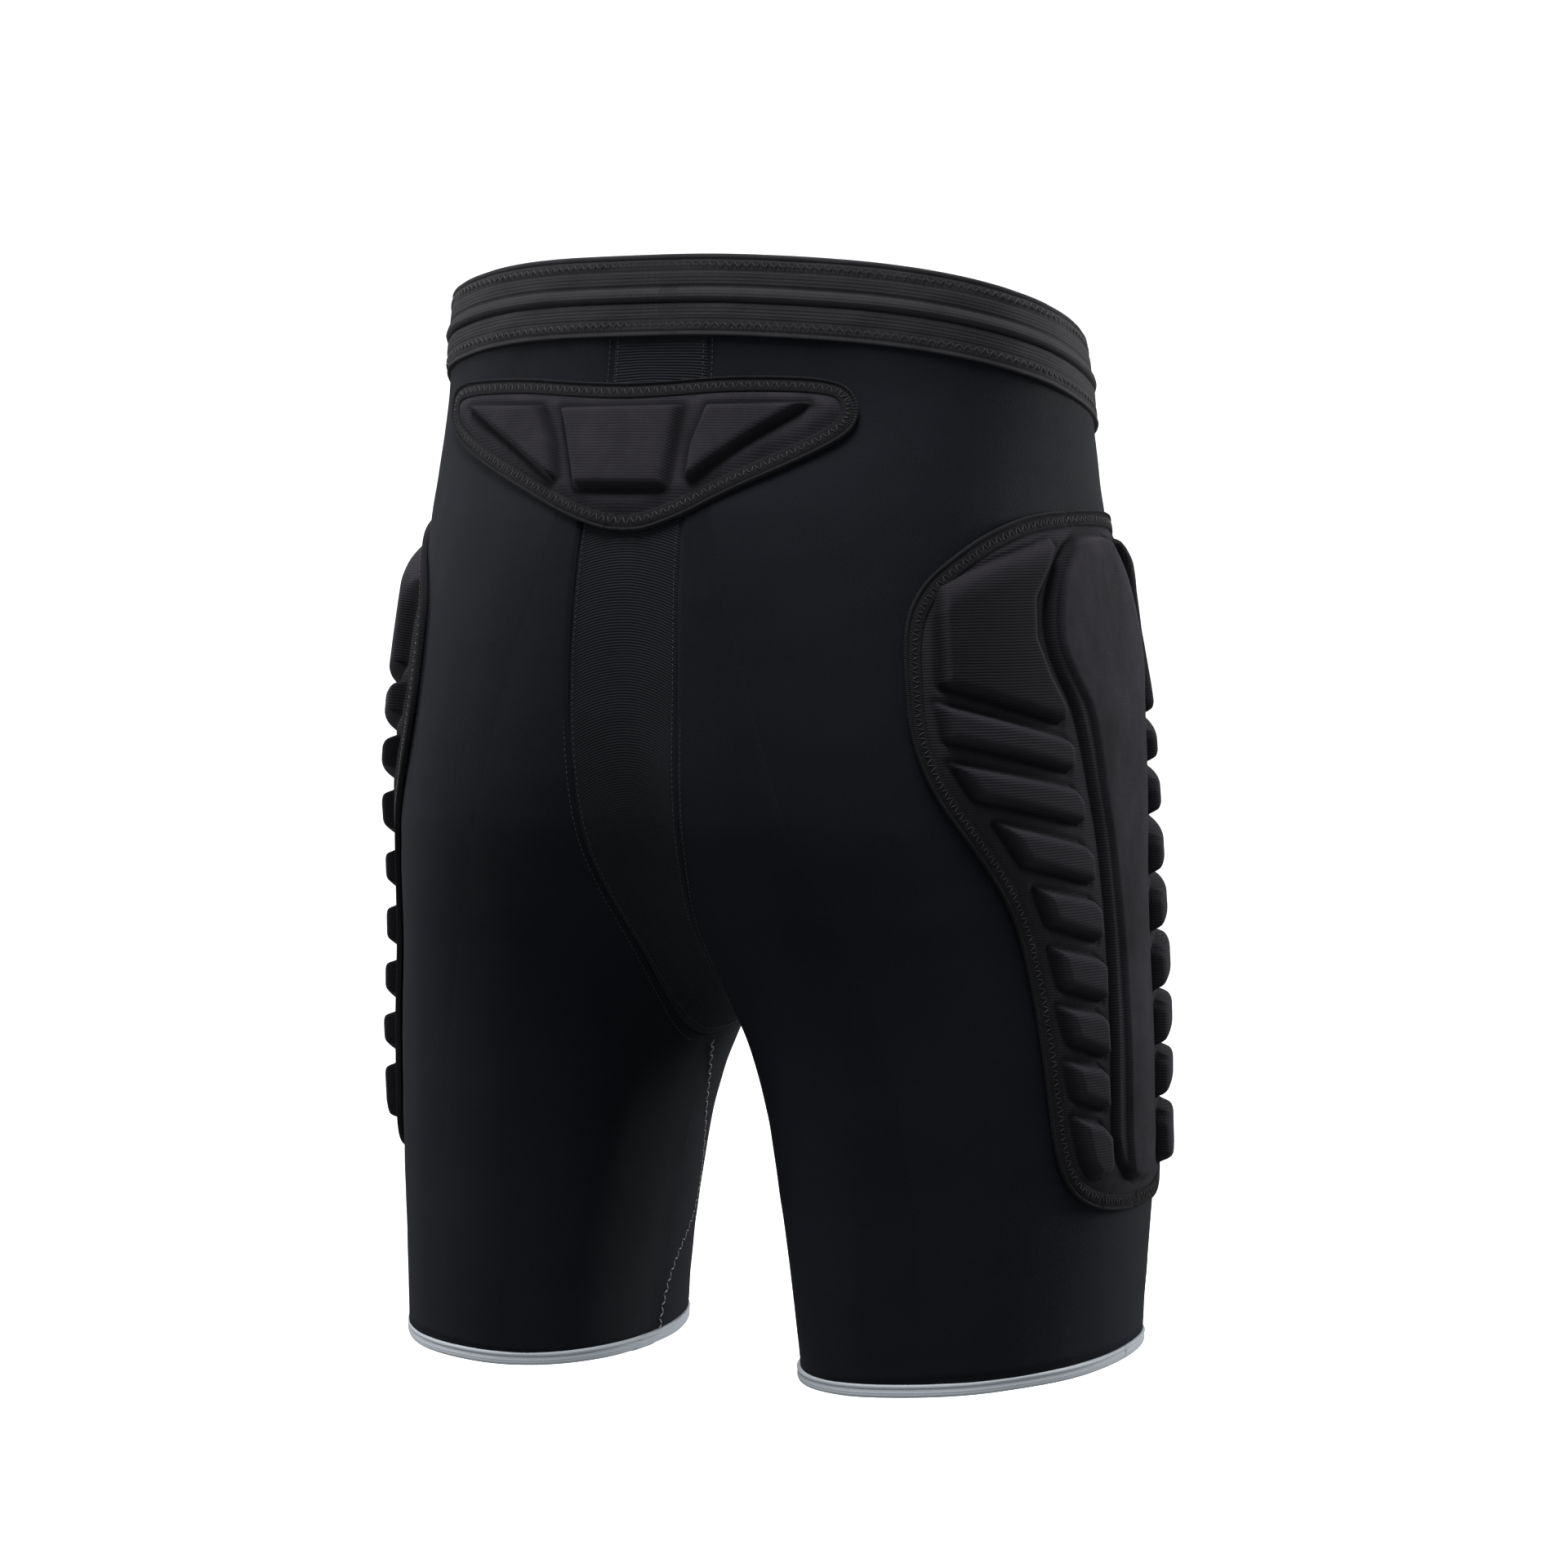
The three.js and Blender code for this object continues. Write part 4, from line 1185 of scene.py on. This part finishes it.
class SHORTS_OT_finishes(bpy.types.Operator):
    """Makes the cloth, elastic and thread finishes"""
    bl_idname = "shorts.finishes"
    bl_label = "Finishes"

    def execute(self, context):
        scene = context.scene
        shell, bands, pads = scene.shorts_shell, scene.shorts_bands, scene.shorts_pads
        knit("stretch_knit", shell.colour, roughness=0.74, sheen=0.22, loops=0.8, contrast=0.22)
        knit("ribbed_knit", shell.gusset_colour, rib_pitch=1.3, rib_depth=0.0003, roughness=0.78)
        knit("pad_knit", pads.colour, rib_pitch=1.3, rib_depth=0.00014, roughness=0.88, sheen=0.3,
             contrast=0.42)
        knit("tape_weave", pads.tape_colour, rib_pitch=0.9, rib_depth=0.0002, roughness=0.85, sheen=0.3)
        webbing("waist_webbing", bands.colour, pitch=1.6, contrast=0.45)
        webbing("hem_webbing", bands.hem_colour, pitch=1.1, contrast=0.06, roughness=0.62)
        thread("dark_thread", scene.shorts_stitches.dark)
        thread("seam_thread", shell.colour, brightness=1.3)
        thread("light_thread", scene.shorts_stitches.light)
        return {"FINISHED"}


class SHORTS_OT_shell(bpy.types.Operator):
    """Adds the two stretch leg panels"""
    bl_idname = "shorts.shell"
    bl_label = "Leg panels"

    def execute(self, context):
        for word in SIDES:
            leg_panel(word, context.scene.shorts_shell)
        return {"FINISHED"}


class SHORTS_OT_gusset(bpy.types.Operator):
    """Adds the ribbed gusset"""
    bl_idname = "shorts.gusset"
    bl_label = "Gusset"

    def execute(self, context):
        settings = context.scene.shorts_shell
        dip = settings.seam_dip / MM
        under = settings.wall / MM + dip + TONGUE_DEPTH

        def lift(x, z, half):
            places = np.stack(np.broadcast_arrays(x, z, z), -1)
            face = ripple(places, "gusset") - dip * bell(np.abs(x) - half, SEAM_WIDTH)
            return np.where(np.abs(x) > half, -under, face)

        outer = gusset_grid(lift)
        inner = gusset_grid(lambda x, z, half: np.full(x.shape, -under - TONGUE_WALL))
        along = np.linalg.norm(np.diff(outer, axis=0, prepend=outer[:1]), axis=2).mean(axis=1).cumsum()
        uv = np.stack(np.broadcast_arrays(outer[..., 0], along[:, None]), -1)
        piece = wall("gusset_cloth_strip", outer, inner, uv)
        keep(piece, "ribbed_knit", "gusset_cloth", "gusset")
        return {"FINISHED"}


def waist_places(share, depth, lift):
    """Places of the waistband. The share runs once round from the centre back by the wearer's left."""
    side = np.where(share < 0.5, 1.0, -1.0)

    def turn_of(z):
        return turn_at(z, 0.0) * (1 - 4 * (share % 0.5)) * side

    z = waist_height(turn_of, depth)
    return mirrored(on_body(turn_of(z), z, lift), side)


def band_profile(table, ribs, settings):
    """A fine outside profile with its ribs."""
    pitch = settings.rib_pitch / MM
    first, last = ribs
    depth = np.arange(table[0, 0], table[-1, 0], PROFILE_STEP)
    lift = np.interp(depth, table[:, 0], table[:, 1])
    within = smooth(depth, first, first + RIB_FADE) * (1 - smooth(depth, last - RIB_FADE, last))
    lift = lift + within * settings.rib_height / MM * np.cos(2 * np.pi * (depth - first) / pitch)
    return depth, lift


class SHORTS_OT_waistband(bpy.types.Operator):
    """Adds the upper and lower waistband"""
    bl_idname = "shorts.waistband"
    bl_label = "Waistband"

    def execute(self, context):
        settings = context.scene.shorts_bands
        inside = settings.inside / MM
        stations = 400
        share = np.arange(stations)[:, None] / stations
        bands = [("upper", UPPER_BAND, UPPER_RIBS, UPPER_LAP), ("lower", LOWER_BAND, LOWER_RIBS, LOWER_LAP)]
        for word, table, ribs, lap in bands:
            depth, lift = band_profile(table, ribs, settings)
            depths = np.concatenate([depth, lap[:, 0]])
            lifts = np.concatenate([lift, lap[:, 1] * inside])
            at, across = np.broadcast_arrays(share, depths)
            flat = waist_places(at, across, np.zeros(at.shape))
            wave = ripple(flat, "waist_broad") + ripple(flat, "waist_fine")
            outside = np.arange(len(depths)) < len(depth)
            wander = ripple(flat, "waist_wander")
            points = waist_places(at, depths + wander * outside, lifts + wave * outside)
            uv = np.stack([at * WAIST_ROUND, across], -1)
            piece = hoop(f"waistband_{word}_elastic", points, uv)
            keep(piece, "waist_webbing", "elastic", f"waistband_{word}")
        return {"FINISHED"}


class SHORTS_OT_hems(bpy.types.Operator):
    """Adds the grey elastic at each hem"""
    bl_idname = "shorts.hems"
    bl_label = "Hem bands"

    def execute(self, context):
        stations = 260
        turn = np.linspace(0, 2 * np.pi, stations, endpoint=False)
        hem = hem_height(turn)
        depth = np.arange(HEM_BAND[0, 0], HEM_BAND[-1, 0] + PROFILE_STEP / 2, PROFILE_STEP)
        lift = np.interp(depth, HEM_BAND[:, 0], HEM_BAND[:, 1])
        depths = np.concatenate([depth, [depth[-1], depth[0]]])
        lifts = np.concatenate([lift, [HEM_INSIDE, HEM_INSIDE]])
        at, across = np.broadcast_arrays(turn[:, None], depths)
        z = hem[:, None] - depths
        flat = on_body(at, z)
        slant = np.degrees(at) - HEM_LAP["start"] + HEM_LAP["rake"] * depths
        past = slant - HEM_LAP["length"]
        lap = smooth(slant, 0, HEM_LAP["ends"]) * (1 - smooth(past, 0, HEM_LAP["ends"]))
        wave = ripple(flat, "hem") + HEM_LAP["rise"] * lap * (lifts > HEM_INSIDE)
        points = on_body(at, z + ripple(flat, "hem_wander"), lifts + wave)
        around = np.broadcast_to(np.linspace(0, HEM_ROUND, stations)[:, None], at.shape)
        for word, side in SIDES.items():
            piece = hoop(f"hem_band_{word}_elastic", mirrored(points, side), np.stack([around, across], -1))
            keep(piece, "hem_webbing", "hem_elastic", f"hem_band_{word}")
        return {"FINISHED"}


class SHORTS_OT_side_pads(bpy.types.Operator):
    """Adds the moulded pad down each side"""
    bl_idname = "shorts.side_pads"
    bl_label = "Side pads"

    def execute(self, context):
        outline = side_outline()
        edge = outline[outline[:, 0] > 0]
        edge = edge[edge[:, 1].argsort()[::-1]]
        rows, columns = 333, 249
        z = np.linspace(edge[0, 1], edge[-1, 1], rows)
        half = np.interp(-z, -edge[:, 1], edge[:, 0])
        u = half[:, None] * np.linspace(-1, 1, columns)
        v = np.broadcast_to(z[:, None], u.shape)
        height, crease_shading, nap = side_relief(u, v, context.scene.shorts_pads)
        for word, side in SIDES.items():
            place = functools.partial(side_place, side=side)
            piece = pad_wall(f"side_pad_{word}_foam", place, u, v, height)
            # The painted shade, which the pad cloth reads to darken its colour.
            mark(piece, "painted_shade", crease_shading)
            mark(piece, "nap", nap)
            keep(piece, "pad_knit", "pad_cloth", f"side_pad_{word}", fill=0.9)
        return {"FINISHED"}


class SHORTS_OT_back_pad(bpy.types.Operator):
    """Adds the moulded pad at the back"""
    bl_idname = "shorts.back_pad"
    bl_label = "Back pad"

    def execute(self, context):
        columns, rows = 249, 81
        outline = back_outline()
        half = outline[outline[:, 0] > 0]
        tip, tip_height = half[half[:, 0].argmax()]
        across = tip * np.sin(np.linspace(-np.pi / 2, np.pi / 2, columns))
        edges = half[half[:, 1] >= tip_height], half[half[:, 1] <= tip_height]
        upper, lower = [np.interp(np.abs(across), *edge[edge[:, 0].argsort()].T) for edge in edges]
        u = np.broadcast_to(across[:, None], (columns, rows))
        v = upper[:, None] + (lower - upper)[:, None] * np.linspace(0, 1, rows)
        height, crease_shading = back_relief(u, v, context.scene.shorts_pads)
        piece = pad_wall("back_pad_foam", back_place, u, v, height)
        # The painted shade at the blocks' feet, which the pad cloth reads to darken its colour.
        mark(piece, "painted_shade", crease_shading)
        mark(piece, "nap", np.full(crease_shading.shape, BACK_PAD_NAP))
        keep(piece, "pad_knit", "pad_cloth", "back_pad", fill=0.9)
        return {"FINISHED"}


def tape_hoop(name, outline, place, joints):
    """A binding round an outline. Each joint is a layout place where its ends overlap in a fold."""
    line, length = evenly(outline, TAPE_STEP)
    fold = np.zeros(len(line))
    for joint in joints:
        away = np.linalg.norm(line - joint, axis=1)
        dip = FOLD["dip"] * bell(away - FOLD["dip_at"], FOLD["dip_reach"])
        fold = fold + bell(away, FOLD["reach"]) - dip
    rings = []
    for out, lift in TAPE:
        moved = outset(line, out * (1 + FOLD["widening"] * fold))
        high = lift + FOLD["rise"] * fold * smooth(lift, *FOLD["risen_part"])
        rings.append(place(moved[:, 0], moved[:, 1], high))
    points = np.stack(rings, 1)
    across = np.broadcast_to(TAPE[:, 0], points.shape[:2])
    uv = np.stack([across, np.broadcast_to(length[:, None], across.shape)], -1)
    return hoop(name, points, uv), line


class SHORTS_OT_bindings(bpy.types.Operator):
    """Adds the sewn tape round each pad, with its zigzag stitches"""
    bl_idname = "shorts.bindings"
    bl_label = "Bindings"

    def execute(self, context):
        for word, side in SIDES.items():
            place = functools.partial(side_place, side=side)
            self.bind(context.scene, f"side_pad_{word}", f"side_pad_binding_{word}", side_outline(),
                      place, SIDE_TAPE_JOINTS)
        self.bind(context.scene, "back_pad", "back_pad_binding", back_outline(), back_place,
                  BACK_TAPE_JOINTS)
        return {"FINISHED"}

    def bind(self, scene, pad, node, outline, place, joints):
        """Lays a tape round a pad, with a line of zigzag stitches along its middle."""
        piece, line = tape_hoop(f"{pad}_tape", outline, place, joints)
        keep(piece, "tape_weave", "binding_tape", node)
        out, lift = TAPE_SEAM
        middle = outset(line, out)
        points = place(middle[:, 0], middle[:, 1], np.full(len(middle), lift))
        stitches = scene.shorts_stitches
        stitched(f"{pad}_stitches", [surface_run(points, True)], "dark_thread", "binding_tape",
                 stitches.pitch, scene.shorts_pads.tape, stitches.thread, LEAN["tape"])


class SHORTS_OT_seams(bpy.types.Operator):
    """Adds the stitches of the waistband, the gusset and the inner legs"""
    bl_idname = "shorts.seams"
    bl_label = "Seams"

    def execute(self, context):
        settings = context.scene.shorts_stitches
        self.waistband(settings)
        self.gusset(settings)
        self.inseams(settings)
        return {"FINISHED"}

    def waistband(self, settings):
        """Zigzag rows round the waistband."""
        count = 360
        share = np.arange(count) / count
        runs = [
            surface_run(waist_places(share, np.full(count, depth), np.full(count, lift)), True)
            for depth, lift in WAIST_STITCH_ROWS]
        stitched("waistband_stitches", runs, "dark_thread", "elastic",
                 settings.pitch, WAIST_STITCH_LENGTH, settings.thread, LEAN["waist"])

    def gusset(self, settings):
        """A row of stitches on each side of each seam of the gusset."""
        stitch = GUSSET_STITCH
        runs = []
        for end in (1, -1):
            z = seam_heights(end, 120)[UNDER_WAISTBAND:]
            for side in (1, -1):
                for beside in (-stitch["beside"], stitch["beside"]):
                    x = side * (gusset_half(z) + beside)
                    low = np.maximum(z, inner_thigh_height(np.abs(x)))
                    lift = np.full(z.shape, stitch["lift"])
                    runs.append(surface_run(across_body(x, low, lift, end)))
        stitched("gusset_stitches", runs, "seam_thread", "gusset_cloth",
                 stitch["pitch"], stitch["length"], settings.thread * stitch["thickness"])

    def inseams(self, settings):
        """A thick light zigzag down each inner leg."""
        stitch = INSEAM_STITCH
        z = np.linspace(INSEAM[0, 0], INSEAM[-1, 0], 90)
        swing = np.radians(through(INSEAM, z)[:, 0])
        places = on_body(np.pi + swing, z, np.full(z.shape, stitch["lift"]))
        runs = [surface_run(mirrored(places, side)) for side in SIDES.values()]
        stitched("inseam_stitches", runs, "light_thread", "shell_cloth",
                 stitch["pitch"], stitch["length"], settings.thread * stitch["thickness"], LEAN["inseam"])


class SHORTS_OT_stage(bpy.types.Operator):
    """Adds the floor and backdrop, the lights and the camera"""
    bl_idname = "shorts.stage"
    bl_label = "Stage"

    def execute(self, context):
        scene = context.scene
        settings = scene.shorts_stage
        self.backdrop(settings.floor)
        world = bpy.data.worlds.new("even_light")
        world.use_nodes = True
        sky = world.node_tree.nodes["Background"].inputs
        sky["Color"].default_value = (1.0, 1.0, 1.0, 1.0)
        sky["Strength"].default_value = settings.sky
        scene.world = world
        for light in LIGHTS:
            self.softbox(*light)
        self.camera(scene)
        scene.view_settings.view_transform = "Standard"
        scene.view_settings.look = "None"
        return {"FINISHED"}

    def backdrop(self, floor):
        """A sweep that turns up all round, out of the camera's way."""
        turns, steps = 96, 40
        corner = np.arange(len(BACKDROP))
        fine = np.linspace(0, corner[-1], steps)
        reach, rise = [np.interp(fine, corner, values) for values in BACKDROP.T]
        turn = np.linspace(0, 2 * np.pi, turns, endpoint=False)[:, None]
        places = np.broadcast_arrays(reach * np.cos(turn), reach * np.sin(turn), floor + rise)
        faces = grid_faces(turns, steps, rows_close=True)
        sweep = mesh_object("backdrop", np.stack(places, -1) / MM, faces.tolist())
        sweep.data.materials.append(pale_paint("pale_backdrop", shade=0.9, glow=0.75))
        sweep.visible_diffuse = False
        sweep.visible_glossy = False

    def softbox(self, name, azimuth, elevation, size, power):
        """A square soft light turned to the garment."""
        light = bpy.data.lights.new(name, "AREA")
        light.shape = "SQUARE"
        light.size = size
        light.energy = power
        aimed(new_object(name, light), azimuth, elevation, LIGHT_DISTANCE)

    def camera(self, scene):
        data = bpy.data.cameras.new("camera")
        data.lens = CAMERA["lens"]
        data.sensor_width = CAMERA["sensor"]
        data.clip_start = CAMERA["near"]
        scene.camera = new_object("camera", data)
        aimed(scene.camera, CAMERA["azimuth"], CAMERA["elevation"], CAMERA["distance"])


def aimed(obj, azimuth, elevation, distance):
    """Stands a light or camera at an azimuth, 0 in front looking along +Y, and turns it to the aim."""
    a = math.radians(azimuth)
    e = math.radians(elevation)
    direction = Vector((math.sin(a) * math.cos(e), -math.cos(a) * math.cos(e), math.sin(e)))
    obj.location = AIM + direction * distance
    obj.rotation_euler = (AIM - obj.location).to_track_quat("-Z", "Y").to_euler()


class SHORTS_PT_panel(bpy.types.Panel):
    """The shorts' pieces and sizes"""
    bl_label = "Padded shorts"
    bl_idname = "SHORTS_PT_panel"
    bl_space_type = "VIEW_3D"
    bl_region_type = "UI"
    bl_category = "Shorts"

    def draw(self, context):
        for operator in OPERATORS:
            self.layout.operator(operator.bl_idname)
        for name, group in SETTINGS.items():
            box = self.layout.box()
            box.label(text=group.__doc__)
            for prop in group.__annotations__:
                box.prop(getattr(context.scene, name), prop)


SETTINGS = {
    "shorts_shell": ShellSettings,
    "shorts_bands": BandSettings,
    "shorts_pads": PadSettings,
    "shorts_stitches": StitchSettings,
    "shorts_stage": StageSettings,
}
# In the order in which they build: the finishes come first, because every piece uses one.
OPERATORS = [
    SHORTS_OT_finishes, SHORTS_OT_shell, SHORTS_OT_gusset, SHORTS_OT_waistband, SHORTS_OT_hems,
    SHORTS_OT_side_pads, SHORTS_OT_back_pad, SHORTS_OT_bindings, SHORTS_OT_seams, SHORTS_OT_stage,
]


CLASSES = [*SETTINGS.values(), *OPERATORS, SHORTS_PT_panel]


def register():
    for cls in CLASSES:
        bpy.utils.register_class(cls)
    for name, group in SETTINGS.items():
        setattr(bpy.types.Scene, name, bpy.props.PointerProperty(type=group))


def unregister():
    for name in SETTINGS:
        delattr(bpy.types.Scene, name)
    for cls in reversed(CLASSES):
        bpy.utils.unregister_class(cls)


def main():
    register()
    for operator in OPERATORS:
        family, name = operator.bl_idname.split(".")
        getattr(getattr(bpy.ops, family), name)()


if __name__ == "__main__":
    main()
